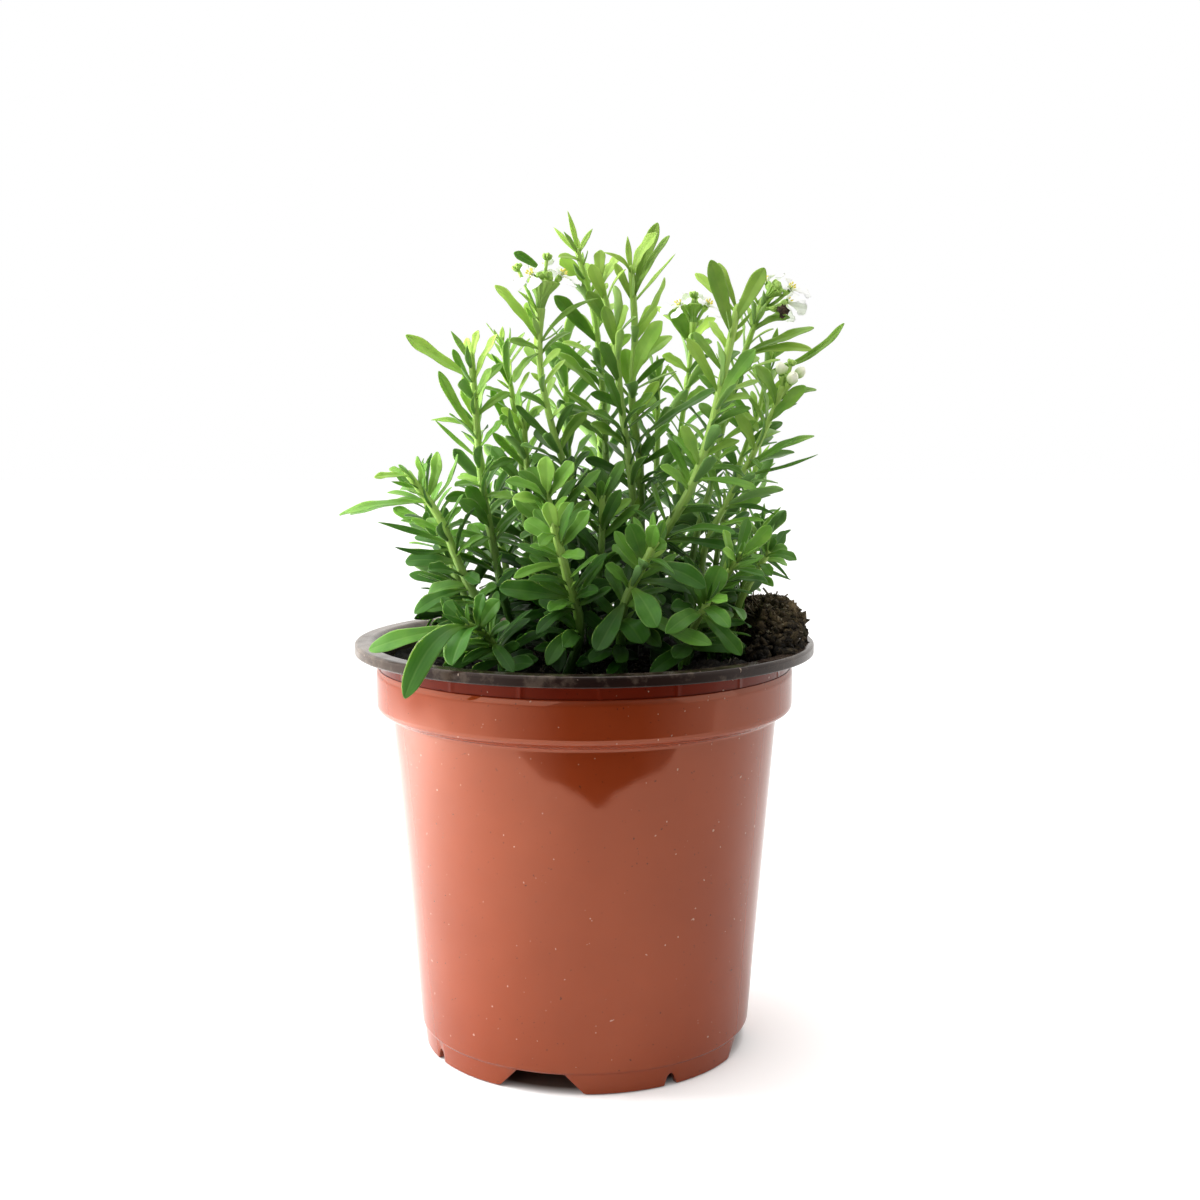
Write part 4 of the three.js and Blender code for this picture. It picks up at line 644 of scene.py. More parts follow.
class Blade:
    """A leaf or petal from its root along its chord, arched to its face and twisted on its way."""

    def __init__(self, root, chord, facing, width, arch, roll=0.0, twist=0.0):
        self.root, self.chord = root, chord
        self.length = float(np.linalg.norm(chord))
        heading = chord / self.length
        self.face = unit(facing - heading * (facing @ heading))
        self.side = np.cross(self.face, heading)
        self.width, self.arch, self.roll, self.twist = width, arch, roll, twist
        self.sickle = 0.0
        self.age = self.luck = 0.5

    def points(self, along, across, over):
        """Places for arrays of the share of length and of distances sideways and to the face."""
        turn = self.roll + self.twist * along
        rise = 4 * along * (1 - along) * self.arch * self.length
        bend = 4 * along * (1 - along) * self.sickle * self.length
        aside = across * np.cos(turn) - over * np.sin(turn) + bend
        up = across * np.sin(turn) + over * np.cos(turn) + rise
        return (self.root + along[..., None] * self.chord + up[..., None] * self.face
                + aside[..., None] * self.side)


def smooth_profile(places, shares, at):
    """A smooth outline through points, flat at its widest one."""
    places, shares = np.asarray(places, float), np.asarray(shares, float)
    slopes = np.zeros(len(places))
    for i in range(1, len(places) - 1):
        before = (shares[i] - shares[i - 1]) / (places[i] - places[i - 1])
        after = (shares[i + 1] - shares[i]) / (places[i + 1] - places[i])
        slopes[i] = 0 if before * after <= 0 else 2 * before * after / (before + after)
    slopes[0] = (shares[1] - shares[0]) / (places[1] - places[0])
    slopes[-1] = (shares[-1] - shares[-2]) / (places[-1] - places[-2])
    i = np.clip(np.searchsorted(places, at) - 1, 0, len(places) - 2)
    span = places[i + 1] - places[i]
    t = (at - places[i]) / span
    return ((2 * t**3 - 3 * t**2 + 1) * shares[i] + (t**3 - 2 * t**2 + t) * span * slopes[i]
            + (3 * t**2 - 2 * t**3) * shares[i + 1] + (t**3 - t**2) * span * slopes[i + 1])


def blunt(profile, at, start, roundness):
    """Rounds the end of an outline: from start it falls as part of an oval."""
    level = np.interp(start, at, profile)
    oval = level * np.sqrt(np.clip(1 - ((at - start) / (1 - start)) ** 2, 0, 1))
    return np.where(at > start, mix(profile, oval, roundness), profile)


# Places up a long and a short blade, and across its face and its underside
LONG_BLADE = 9
STATIONS = np.array([0, .05, .12, .2, .29, .38, .47, .56, .65, .73, .8, .86, .91, .95, .98, .996])
FEW_STATIONS = np.array([0, .1, .24, .4, .56, .7, .82, .91, .97, .995])
TOP_ACROSS = np.array([-1, -.86, -.5, -.14, 0, .14, .5, .86, 1])
UNDER_ACROSS = np.array([.8, .32, 0, -.32, -.8])
RING_ACROSS = np.concatenate([TOP_ACROSS, UNDER_ACROSS])
RING_UNDER = np.concatenate([np.zeros(len(TOP_ACROSS)), np.ones(len(UNDER_ACROSS))])


def leaf_width(blade, at):
    """The leaf's width at shares of its length, in millimetres."""
    form = [outline for outline in OUTLINES if blade.width >= outline.width][-1]
    root = min(0.55, blade.width * 0.5) / blade.width
    profile = smooth_profile((0, *form.places, 1), (root, *form.shares, 0), at)
    roundness = 0.62 if blade.width >= NARROW else 0.3
    return blade.width * blunt(profile, at, form.places[-1], roundness)


def add_leaf(shape, blade, kind=0, width_at=leaf_width, thick=0.36, cup=0.1, groove=0.11,
             keel=0.2, wave=0.0):
    """A leaf with a grooved face, a keel under its midrib and thin, even edges."""
    at = STATIONS if blade.length > LONG_BLADE else FEW_STATIONS
    width = np.maximum(width_at(blade, at), 0.02)
    a, u = np.meshgrid(RING_ACROSS, at)
    under = np.broadcast_to(RING_UNDER, a.shape)
    wide = width[:, None]
    # Thin at the edges, cupped, with a groove over the midrib and a keel under it
    half = np.minimum(thick / 2, wide * 0.45) * (1 - 0.8 * np.abs(a) ** 3)
    over = np.where(under > 0, -half, half) + cup * wide * a * a
    slim = np.clip(wide / 2.2, 0.15, 1)
    over -= np.where(under > 0, keel * (1 - 0.75 * u), groove) * np.exp(-(a / 0.2) ** 2) * slim
    over += wave * np.abs(a) ** 2 * np.sin(u * 15 + blade.luck * 40 + np.sign(a)) * wide * 0.12
    points = blade.points(u, a * wide / 2, over)
    ends = blade.points(np.array([-0.01, 1.0]), np.zeros(2), np.zeros(2))
    shape.add_rings(points, ends, np.stack([u, a, under], -1),
                    (blade.age, blade.luck, min(blade.length / 25, 1)), kind, turned=False)


# ------ the plan of the plant

NAMES = [f"leafy_stem_{i + 1:02d}" for i in range(len(STEMS))]
SAME_PLACE = 0.05
PLAN = {}


def leaf_tries(path, number, order, leaf, light, shifts, scales):
    """A leaf of the CAD in each way that it may have been set, the wished one first."""
    share, x, y, z, width, arch = leaf
    root, heading = path.along(min(share, 1 - TOP_ROOT / path.total))
    facing = heading + light
    roll = LEAF_ROLL * (chance(number, order, 1) - 0.5) * 2
    twist = LEAF_TWIST * (chance(number, order, 2) - 0.5) * 2
    for scale in scales:
        for shift in shifts:
            chord = (vec(x, y, z) + shift) * scale
            yield Blade(root, chord, facing, width, arch, roll, twist)


def rule_share(order, count):
    """How far up the stem a leaf stands that is set by rule."""
    return mix(0.12, 0.99, (order + 0.5) / count)


def rule_tries(path, number, order, count):
    """A leaf that the CAD sets by rule, in each way that it may have been set."""
    share = rule_share(order, count)
    root, heading = path.along(share)
    first, second = sideways(heading)
    outward = unit(vec(root[0], root[1], 0)) * OUTWARD_TURN
    dice = [chance(number, order, what) for what in range(7)]
    lean = math.radians(mix(76, 26, share) + 12 * (dice[3] - 0.5))
    length = mix(20, 13, share * share) * mix(0.86, 1.12, dice[4])
    width = mix(4.8, 3.6, share) * mix(0.88, 1.12, dice[5])
    arch = mix(0.14, 0.04, share) * mix(0.6, 1.5, dice[6])
    turn = math.radians(GOLDEN_TURN * order + 360 * chance(number, 7))
    for scale in RULE_SCALES:
        for tilt in RULE_TILTS:
            for swing in RULE_SWINGS:
                steep, round_it = lean + math.radians(tilt), turn + math.radians(swing)
                tip = heading * math.cos(steep) + round_way(first, second, round_it
                                                            ) * math.sin(steep)
                leaf = (share, *(tip * length), width, arch)
                yield from leaf_tries(path, number, order + 100, leaf, outward, [(0, 0, 0)],
                                      [scale])


def corners_of(node):
    """A tree of the node's corners, in millimetres."""
    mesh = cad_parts[node].data
    tree = kdtree.KDTree(len(mesh.vertices))
    for i, vertex in enumerate(mesh.vertices):
        tree.insert(vertex.co / MM, i)
    tree.balance()
    return tree


def age_of(share, blade):
    """How young a leaf looks: those high on the plant and near a tip, and the narrow ones."""
    high = min(max((blade.root[2] - 114) / 100, 0), 1)
    return 0.25 * share + 0.75 * high - 0.06 * max(blade.width - 4, 0)


def plan_leaves(number, path, shown, by_rule):
    """The leaves that the CAD's stem bears: the tries whose tips are corners of its node."""
    tree = corners_of(NAMES[number])
    rows = [leaf_tries(path, number, order, leaf, FRONT_LIGHT, SHOWN_SHIFTS, SHOWN_SCALES)
            for order, leaf in enumerate(shown)]
    rows += [rule_tries(path, number, order, by_rule) for order in range(by_rule)]
    shares = [leaf[0] for leaf in shown] + [rule_share(order, by_rule)
                                            for order in range(by_rule)]
    leaves = []
    for order, (tries, share) in enumerate(zip(rows, shares)):
        for blade in tries:
            if tree.find(blade.root + blade.chord)[2] < SAME_PLACE:
                blade.age = age_of(share, blade)
                blade.luck = chance(number, order, 11)
                blade.sickle = 0.05 * (chance(number, order, 12) - 0.5)
                tip = blade.root + blade.chord
                blade.root = path.fine(min(share, 1 - TOP_ROOT / path.total))
                blade.chord = tip - blade.root
                leaves.append(blade)
                break
    return leaves


class Room:
    """Which small cells are taken, and by which stem."""

    STEP = 0.6
    LOW = np.array([-78.0, -70.0, 100.0])
    CELLS = (260, 234, 240)

    def __init__(self):
        self.taken = np.zeros(self.CELLS, np.int16)
        span = np.arange(-2, 3)
        ball = np.stack(np.meshgrid(span, span, span, indexing="ij"), -1).reshape(-1, 3)
        reach = np.linalg.norm(ball, axis=1) * self.STEP
        sizes = {STEM_ROOM, LEAF_ROOM, *(row.room for row in YOUNG)}
        self.balls = {size: ball[reach <= size] for size in sizes}

    def cells(self, points):
        """The cell that each point is in."""
        index = ((np.asarray(points) - self.LOW) / self.STEP + 0.5).astype(int)
        return np.clip(index, 0, np.array(self.CELLS) - 1)

    def take(self, points, owner, size):
        """Gives the free cells round the points to an owner."""
        index = self.cells(points)[:, None] + self.balls[size]
        index = np.clip(index.reshape(-1, 3), 0, np.array(self.CELLS) - 1)
        free = self.taken[tuple(index.T)] == 0
        self.taken[tuple(index[free].T)] = owner

    def at(self, points):
        """The owner of each point's cell, 0 for a free one."""
        return self.taken[tuple(self.cells(points).T)]


def blade_grid(blade, width_at=leaf_width):
    """Sample places over a blade, and how far up it each one is."""
    rows = max(int(blade.length / 0.8), 5)
    along = (np.arange(rows) + 0.5) / rows
    width = width_at(blade, along)
    across = np.array([-0.5, -0.25, 0, 0.25, 0.5])
    a, u = np.meshgrid(across, along)
    return blade.points(u, a * width[:, None], np.zeros(a.shape)).reshape(-1, 3), u.ravel()


def clear_of_pot(points):
    """Whether points lie over the soil and the rim, and inside the plant's reach."""
    x, y, z = points.T
    out = np.hypot(x, y)
    lowest = np.where(out > LIP_RADIUS - WALL - 1, RIM_TOP + OVER_RIM,
                      soil_top(x, y) + OVER_SOIL + 0 * out)
    lowest = np.where(out > RIM_RADIUS + BESIDE_RIM, -100, lowest)
    aside, ahead = YOUNG_REACH
    return bool(np.all(z > lowest) and np.all(z <= YOUNG_TOP) and np.all(np.abs(x) < aside)
                and np.all(np.abs(y) < ahead))


def fresh_leaf(path, row, draw, bears):
    """A young leaf that the solids leave out, drawn between the limits of its row."""
    turn = draw.random() * 2 * math.pi
    low, high = row.share
    share = draw.uniform(low, high + (SKIRT_REACH / path.total if row.kind == "skirt" else 0))
    lean = draw.uniform(*row.lean) + row.more_lean * (1 - share)
    length = draw.uniform(*row.length) + row.more_length * (1 - share)
    width, arch = draw.uniform(*row.width), draw.uniform(*row.arch)
    if row.kind == "tip" and bears and lean < STEEP:
        lean += 0.5
    _, heading = path.along(share)
    root = path.fine(share)
    tip = heading * math.cos(lean) + round_way(*sideways(heading), turn) * math.sin(lean)
    outward = unit(vec(root[0], root[1], 0.01))
    facing = heading * 1.2 + outward * 0.5 + vec(-0.1, -0.8, 0.3)
    blade = Blade(root, tip * length, facing, width, arch, (draw.random() - 0.5) * 0.9,
                  (draw.random() - 0.5) * 0.8)
    blade.age, blade.luck = age_of(share, blade), draw.random()
    blade.sickle = 0.1 * (draw.random() - 0.5)
    if row.kind == "tuft":
        blade.age += TUFT_FRESHER
    return blade


def fits(room, blade, owner, own_free):
    """Whether a young leaf has room, apart from its foot among its own stem's leaves."""
    points, along = blade_grid(blade)
    if not clear_of_pot(points):
        return False
    x, y, z = points.T
    if np.any((x > BARE_HEAP[0]) & (y < BARE_HEAP[1]) & (z < BARE_HEAP[2])):
        return False
    owners = room.at(points)
    foreign = (owners != 0) & (owners != owner)
    own = (owners == owner) & (along > own_free)
    return not (foreign.any() or own.any())


def take_flower(room, row, path):
    """Keeps the room of an open flower and its stalk free of leaves."""
    eye = path.tip() + vec(row.offset)
    facing, outward, beside = flower_ways(row)
    out, turn = np.meshgrid(np.arange(0, 6.8, 0.6), np.radians(np.arange(0, 360, 8)))
    disc = eye + outward * (out * np.cos(turn))[..., None] + beside * (
        out * np.sin(turn))[..., None] + facing * (out * PETAL_LIFT)[..., None]
    room.take(disc.reshape(-1, 3), PETAL_OWNER, LEAF_ROOM)
    back = path.along(STALK_START)[0]
    room.take(mix(back, eye, np.linspace(0, 1, 14)[:, None]), row.stem + 1, LEAF_ROOM)


def plan_plant(settings):
    """Paths, the CAD's leaves and the young ones that fill the plant, worked out once."""
    if PLAN:
        return PLAN
    paths = [Path(stem.base, stem.knots) for stem in STEMS]
    leaves = [plan_leaves(i, paths[i], stem.shown, stem.by_rule) for i, stem in enumerate(STEMS)]
    room = Room()
    for i, path in enumerate(paths):
        spots = [path.fine(s) for s in np.linspace(0, 1, int(path.total / 0.8))]
        room.take(spots, i + 1, STEM_ROOM)
    for row in FLOWERS:
        take_flower(room, row, paths[row.stem])
    for row in BUDS:
        centre = paths[row.stem].tip() + vec(row.offset)
        room.take(centre + vec(0, 0, 1) * np.linspace(-3, 2, 8)[:, None], BUD_OWNER, STEM_ROOM)
    for i, blades in enumerate(leaves):
        for blade in blades:
            room.take(blade_grid(blade)[0], i + 1, LEAF_ROOM)
    PLAN.update(paths=paths, leaves=leaves, young=fresh_leaves(paths, room, settings))
    return PLAN


def fresh_leaves(paths, room, settings):
    """Rosettes at the tips first, then leaves down the stems, then tufts in the leaf axils."""
    draw = np.random.default_rng(settings.seed)
    young = [[] for _ in paths]
    for row in YOUNG:
        rounds = int(row.rounds * settings.fullness) if row.kind == "body" else row.rounds
        for _ in range(rounds):
            for i, path in enumerate(paths):
                for _ in range(YOUNG_TRIES):
                    blade = fresh_leaf(path, row, draw, i in BEARING)
                    if fits(room, blade, i + 1, row.free):
                        room.take(blade_grid(blade)[0], i + 1, row.room)
                        young[i].append(blade)
                        break
    return young


# ------ stems, flowers and buds


def flower_ways(row):
    """The way a flower faces, the outer side of its head, and across both."""
    facing = unit(vec(row.faces))
    outward = vec(row.offset[0], row.offset[1], 0)
    outward = unit(outward - facing * (outward @ facing))
    return facing, outward, np.cross(facing, outward)


def bud_ways(row, path):
    """A bud's centre and the way it faces."""
    return path.tip() + vec(row.offset), unit(vec(row.offset) + vec(0, 0, 2))


def stem_bar(shape, path, radius, number, bears):
    """The stem with its ridges, small rings at even steps up it, and a wide head under flowers."""
    shares = np.linspace(0, 1, max(int(path.total / 1.1), 12))
    points = [path.fine(s) for s in shares]
    radii = radius * (1 - (1 - STEM_TAPER) * shares)
    radii *= 1 + 0.08 * np.sin(shares * path.total * 1.05 + number) ** 6
    radii *= 1 + 0.35 * np.exp(-shares * path.total / 2.5)
    if bears:
        radii *= 1 + 0.75 * np.clip((shares - 0.93) / 0.07, 0, 1) ** 1.5
    points = [path.foot, path.foot * 0.5 + points[0] * 0.5, *points]
    radii = [radius, radius * 1.15, *radii]
    tube(shape, points, radii, 12, (0.5, chance(number, 21), 0), 1, ridges=5, depth=0.07)


def stalk_points(path, back, facing, end):
    """A stalk's bend from the stem to an end, coming in along the way that its flower faces."""
    start = path.along(STALK_START)[0]
    bend = back - facing * np.linalg.norm(start - back) * 0.45
    return bend_points(start, bend, end, STALK_POINTS)


def sepals(shape, back, facing, reach, spread, number):
    """Four small green leaves round the base of a flower or bud."""
    first, second = sideways(facing)
    for k in range(4):
        way = round_way(first, second, math.radians(45 + 90 * k) + number)
        blade = Blade(back + way * 0.45, facing * reach + way * spread, way, 1.5, -0.12)
        blade.age, blade.luck = 0.75, chance(number, k, 31)
        add_leaf(shape, blade, thick=0.2, cup=-0.12, keel=0.06)


def add_stalk(shape, path, back, facing, cup, number):
    """A flower's stalk, opening into the cup behind it."""
    points = stalk_points(path, back, facing, back)
    cup_points = [back + facing * CALYX_LENGTH * s for s in (0.35, 0.7, 1)]
    radii = [PEDICEL_RADIUS] * STALK_POINTS + [mix(PEDICEL_RADIUS, cup, s) for s in (0.55, 0.9, 1)]
    tube(shape, [*points, *cup_points], radii, 10, (0.85, chance(number, 22), 0), 1, 5, 0.06)
    sepals(shape, back + facing * CALYX_LENGTH * 0.5, facing, 1.9, cup * 0.55, number)


def four_folds(lift, turn):
    """The folds of a small closed bud."""
    return 1 + 0.07 * np.cos(4 * turn) * np.cos(lift)


def green_bud(shape, path, row, number):
    """A tight cluster of small folded buds on a bare stalk."""
    centre, facing = bud_ways(row, path)
    size = row.radius
    back = centre - facing * size
    points = stalk_points(path, back, facing, back + facing * 0.3)
    tube(shape, points, [PEDICEL_RADIUS] * STALK_POINTS, 8, (0.9, 0.5, 0), 1)
    first, second = sideways(facing)
    orb(shape, centre, facing, size * 0.6, 1.6, (0.95, 0.5, 0), 1, dent=four_folds)
    for k in range(5):
        way = round_way(first, second, math.radians(72 * k))
        orb(shape, centre + way * size * 0.62 + facing * 0.25 * (k % 2), facing + way * 0.6,
            size * 0.5, 1.6, (0.95, chance(number, k, 33), 0), 1, 8, 12, four_folds)


def head_cup(shape, path, head):
    """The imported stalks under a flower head, opening like a ribbed funnel, with small buds."""
    start, axis, size = path.tip(), unit(vec(head.lean)), head.size
    first, second = sideways(axis)
    heights, radii = np.array(FUNNEL).T
    points = start + axis * heights[:, None] * size
    tube(shape, points, np.where(heights > 2, radii * size, radii), 4 * FUNNEL_RIBS,
         (0.75, 0.5, 0), 1, FUNNEL_RIBS, 0.1)
    for k in range(head.buds):
        way, out = round_way(first, second, 2.4 * k), (0.9 + 0.8 * (k % 4)) * size
        centre = start + axis * (8.3 + 0.5 * (k % 3)) * size + way * out
        orb(shape, centre, axis + way * 0.25, 0.62 + 0.22 * chance(k, 61), 1.5,
            (0.95, chance(k, 62), 0), 1, 8, 12, four_folds)


def build_stem(number, plan, materials):
    """A stem with all that grows on it, as one piece."""
    path, shape = plan["paths"][number], Shape()
    stem_bar(shape, path, STEMS[number].radius, number, number in BEARING)
    for blade in plan["leaves"][number]:
        add_leaf(shape, blade, thick=0.4, wave=0.6)
    for blade in plan["young"][number]:
        add_leaf(shape, blade, thick=0.3, keel=0.12)
    for order, row in enumerate(row for row in FLOWERS if row.stem == number):
        facing = flower_ways(row)[0]
        back = path.tip() + vec(row.offset) - facing * FLOWER_BACK
        add_stalk(shape, path, back, facing, CALYX_RADIUS * 0.8, number * 10 + order)
    for head in HEADS:
        if head.stem == number:
            head_cup(shape, path, head)
    for leaf in HEAD_LEAVES:
        if leaf.stem == number:
            blade = Blade(path.tip() + vec(leaf.root), vec(leaf.chord), FRONT_LIGHT, leaf.width,
                          0.08)
            blade.age = 0.3
            add_leaf(shape, blade, thick=0.3, keel=0.12)
    for order, row in enumerate(BUDS):
        if row.stem != number:
            continue
        if not row.name:
            green_bud(shape, path, row, number)
            continue
        centre, facing = bud_ways(row, path)
        back = centre - facing * (row.radius * row.stretch + GAP + CALYX_LENGTH)
        add_stalk(shape, path, back, facing, row.radius * BUD_CUP * 0.8, number * 10 + order)
    return shape.make(f"{NAMES[number]}_foliage", materials, "leaf", [NAMES[number]])


def petal_width(blade, at):
    """A petal's width at shares of its length: a narrow claw and a broad, round blade."""
    profile = smooth_profile((0, .3, .55, .76, .9, 1), (.16, .34, .78, 1, .86, .3), at)
    return blade.width * blunt(profile, at, .9, 1)


def build_flower(row, plan, petal, anther, thread):
    """An open flower: its four petals as one piece, its stamens and pistil as another."""
    eye = plan["paths"][row.stem].tip() + vec(row.offset)
    facing, outward, beside = flower_ways(row)
    number = int(row.name[-1])

    corolla = Shape()
    for k, degrees in enumerate(PETAL_TURNS):
        way = round_way(outward, beside, math.radians(degrees + 6 * (chance(number, k, 41) - 0.5)))
        long = degrees < 90 or degrees > 270
        length = (LONG_PETAL if long else SHORT_PETAL) * mix(0.93, 1.0, chance(number, k, 42))
        chord = way * length + facing * length * (PETAL_LIFT + 0.02)
        root = eye + way * CLAW_START - facing * (0.25 + 0.1 * (k % 2))
        blade = Blade(root, chord - way * CLAW_START, facing, length * 0.7,
                      0.05 + 0.06 * chance(number, k, 43), 0.15 * (chance(number, k, 44) - 0.5))
        blade.luck = chance(number, k, 45)
        add_leaf(corolla, blade, width_at=petal_width, thick=0.17, cup=-0.035, groove=0.05,
                 keel=0.03, wave=0.9)
    # The claws of the petals meet on a small disc, which makes the corolla one piece
    orb(corolla, eye - facing * 0.25, facing, 0.62, 0.4, (0.1, 0.5, 0), rings=6, sides=12)
    corolla.make(f"{row.name}_corolla", [petal], "petal", [f"{row.name}_petals"])

    tuft = Shape()
    for k in range(6):
        way = round_way(outward, beside, math.radians(60 * k + 20 * chance(number, k, 46)))
        foot = eye + way * 0.3 + facing * 0.1
        top = eye + way * (0.75 + 0.15 * (k % 2)) + facing * (1.0 + 0.2 * (k % 3))
        tube(tuft, bend_points(foot, mix(foot, top, 0.5) + facing * 0.15, top, 6),
             [0.1] * 6, 6, (0, 0.5, 0), 1)
        orb(tuft, top + facing * 0.12, facing + way * 0.6, 0.3, 1.5, (1, 0.5, 0), 0,
            rings=6, sides=8, dent=lambda lift, turn: 1 - 0.2 * (np.cos(turn) > 0.9))
    orb(tuft, eye + facing * 0.6, facing, 0.36, 1.8, (0.5, 0.5, 0), 1, rings=6, sides=10)
    tuft.make(f"{row.name}_stamens", [anther, thread], "anther", [f"{row.name}_anthers"])


def wrapped(lift, turn):
    """The form of a white bud: four petals wrapped over each other."""
    spiral = np.mod(turn * 2 / math.pi + lift * 0.5, 1)
    return 0.95 + 0.06 * spiral - 0.1 * np.clip(lift, 0, 2) * spiral


def crumpled(lift, turn):
    """The form of the dried flower's heart."""
    return (0.86 + 0.14 * np.sin(3 * turn + 2 * lift) + 0.1 * np.sin(7 * turn - 5 * lift)
            + 0.06 * np.cos(13 * turn + 9 * lift))


def build_white_bud(row, plan, material):
    """A closed bud with a white tip."""
    centre, facing = bud_ways(row, plan["paths"][row.stem])
    shape = Shape()
    orb(shape, centre, facing, row.radius, row.stretch, (0.5, 0.5, 0), 0, 22, 40, wrapped)
    shape.make(f"{row.name}_shown", [material], "petal", [row.name])


def build_withered_flower(row, plan, material):
    """A dark, crumpled heart with curled petals round it."""
    centre, facing = bud_ways(row, plan["paths"][row.stem])
    first, second = sideways(facing)
    shape = Shape()
    orb(shape, centre, facing, row.radius * 0.8, row.stretch, (0.3, 0.5, 0), 0, 24, 40, crumpled)
    for k in range(7):
        way = round_way(first, second, math.radians(51 * k))
        blade = Blade(centre - facing * 0.8 + way * 0.5,
                      facing * (1.0 + 0.5 * (k % 3)) + way * (1.0 + 0.3 * (k % 2)), way,
                      1.4, 0.3 * (-1) ** k, 0.8 * chance(k, 51), 1.6 * chance(k, 52))
        blade.luck = chance(k, 53)
        add_leaf(shape, blade, thick=0.16, cup=0.3, keel=0.05, wave=2.5)
    shape.make(f"{row.name}_shown", [material], "withered", [row.name])


# ------ soil


def soil_relief(x, y):
    """The CAD's surface with crumbs and hollows, drawn up a little round the stems."""
    height = soil_top(x, y)
    rough = np.empty(len(x))
    for i, (px, py) in enumerate(zip(x, y)):
        spot = Vector((px, py, 3.7))
        crumbs = noise.fractal(spot * 0.42, 0.7, 2.1, 5)
        grains = noise.voronoi(spot * 0.55)[0][0]
        rough[i] = crumbs * 0.75 - grains * 1.25 + 0.35
    edge = np.clip((SOIL_EDGE - np.hypot(x, y)) / 2.5, 0.15, 1)
    heaped = np.clip((height - SOIL_LEVEL) / 6, 0, 1)
    return height + rough * np.maximum(edge, heaped) * (1 + 1.1 * heaped)


def add_crumb(shape, draw, centre, size, tone):
    """A small angular lump."""
    shift = draw.random(4) * 6.28

    def knobbly(lift, turn):
        return (1 + 0.36 * np.sin(2 * turn + shift[0] + 2 * lift) + 0.26 * np.sin(
            3 * turn + shift[1]) * np.cos(3 * lift + shift[2]))

    axis = draw.normal(size=3)
    orb(shape, centre, axis, size, draw.uniform(0.35, 1.9), tone, 0, 5, 7, knobbly)


def pile_heights(x, y):
    """What lies under the peat that spilled over the pot's lip on the right, and its top."""
    out, turn = math.hypot(x, y), math.degrees(math.atan2(x, -y))
    if out < SOIL_EDGE:
        ground = float(soil_top(x, y))
    else:
        ground = min(RIM_TOP, LIP_LOW + (out - SOIL_EDGE) * 0.8)
    beside = math.exp(-((turn - SPILL_TURN[0]) / SPILL_WIDTH) ** 2)
    away = (out - SPILL_REACH[0]) / (SPILL_REACH[1] - SPILL_REACH[0])
    if away <= 0 or away >= 1:
        return ground, ground
    return ground, max(ground, LIP_LOW * (1 - beside) + RIM_TOP * beside
                       + SPILL_HEIGHT * beside * (1 - away ** 5))


def spill(shape, draw, count):
    """Crumbs on the spilled peat, over larger lumps that fill it."""
    for i in range(count):
        inner = i < count / 10
        turn = math.radians(draw.normal(*SPILL_TURN))
        out = draw.uniform(*SPILL_REACH)
        if inner:
            out = min(out, SPILL_REACH[1] - 2.5)
        x, y = out * math.sin(turn), -out * math.cos(turn)
        ground, top = pile_heights(x, y)
        pale = draw.random() < 0.07
        size = draw.uniform(1.3, 2.2) if inner else draw.uniform(0.35, 1.05)
        sink = size + draw.random() * 3 if inner else draw.uniform(-0.3, 1.2)
        if inner and top - ground < 2 * size:
            continue
        tone = 0.95 if pale and not inner else draw.uniform(0.1, 0.56)
        height = max(top - sink, ground + size * (1.3 if inner else 0.2))
        add_crumb(shape, draw, vec(x, y, height), size * (0.6 if pale else 1),
                  (tone, draw.random(), 0))


def peat_plug(shape):
    """The rough surface, and the smooth wall and floor that follow the pot's inside."""
    radii = SOIL_EDGE * np.concatenate([[0.004], np.linspace(0.01, 1, PEAT_RINGS) ** 0.85])
    turn = np.arange(PEAT_SIDES) * 2 * math.pi / PEAT_SIDES
    x, y = radii[:, None] * np.sin(turn), -radii[:, None] * np.cos(turn)
    z = soil_relief(x.ravel(), y.ravel()).reshape(x.shape)
    top = np.stack([x, y, z], -1)
    low = FLOOR_TOP + GAP
    wall = [(SOIL_EDGE, SHOULDER_HIGH + GAP), (BODY_TOP_RADIUS - WALL - GAP, SHOULDER_LOW + GAP),
            (FOOT_RADIUS - WALL - GAP, low), (0.3, low)]
    rings = [np.stack([r * np.sin(turn), -r * np.cos(turn), np.full(PEAT_SIDES, h)], -1)
             for r, h in wall]
    ends = [(0, 0, float(z[0].mean())), (0, 0, low)]
    shape.add_rings(np.concatenate([top, np.stack(rings)]), ends, None, (0.3, 0.5, 0),
                    turned=False)


def loose_crumbs(shape, draw, count):
    """Crumbs, most of them at the heap on the right and in the open patch on the left."""
    for _ in range(count):
        where = draw.random()
        if where < 0.45:
            x, y = draw.normal((49, 6), (5, 9))
        elif where < 0.6:
            x, y = draw.normal(OPEN_PATCH, (7, 9))
        else:
            out, at = SOIL_EDGE * math.sqrt(draw.random()), draw.random() * 2 * math.pi
            x, y = out * math.sin(at), -out * math.cos(at)
        if math.hypot(x, y) > SOIL_EDGE - 0.4:
            continue
        size = draw.uniform(0.3, 1.1 if where < 0.45 else 0.95) ** 1.3
        height = float(soil_relief(np.array([x]), np.array([y]))[0]) + size * 0.3
        pale = draw.random() < 0.1
        add_crumb(shape, draw, vec(x, y, height), size * (0.7 if pale else 1),
                  (0.95 if pale else draw.uniform(0.1, 0.55), draw.random(), 0))


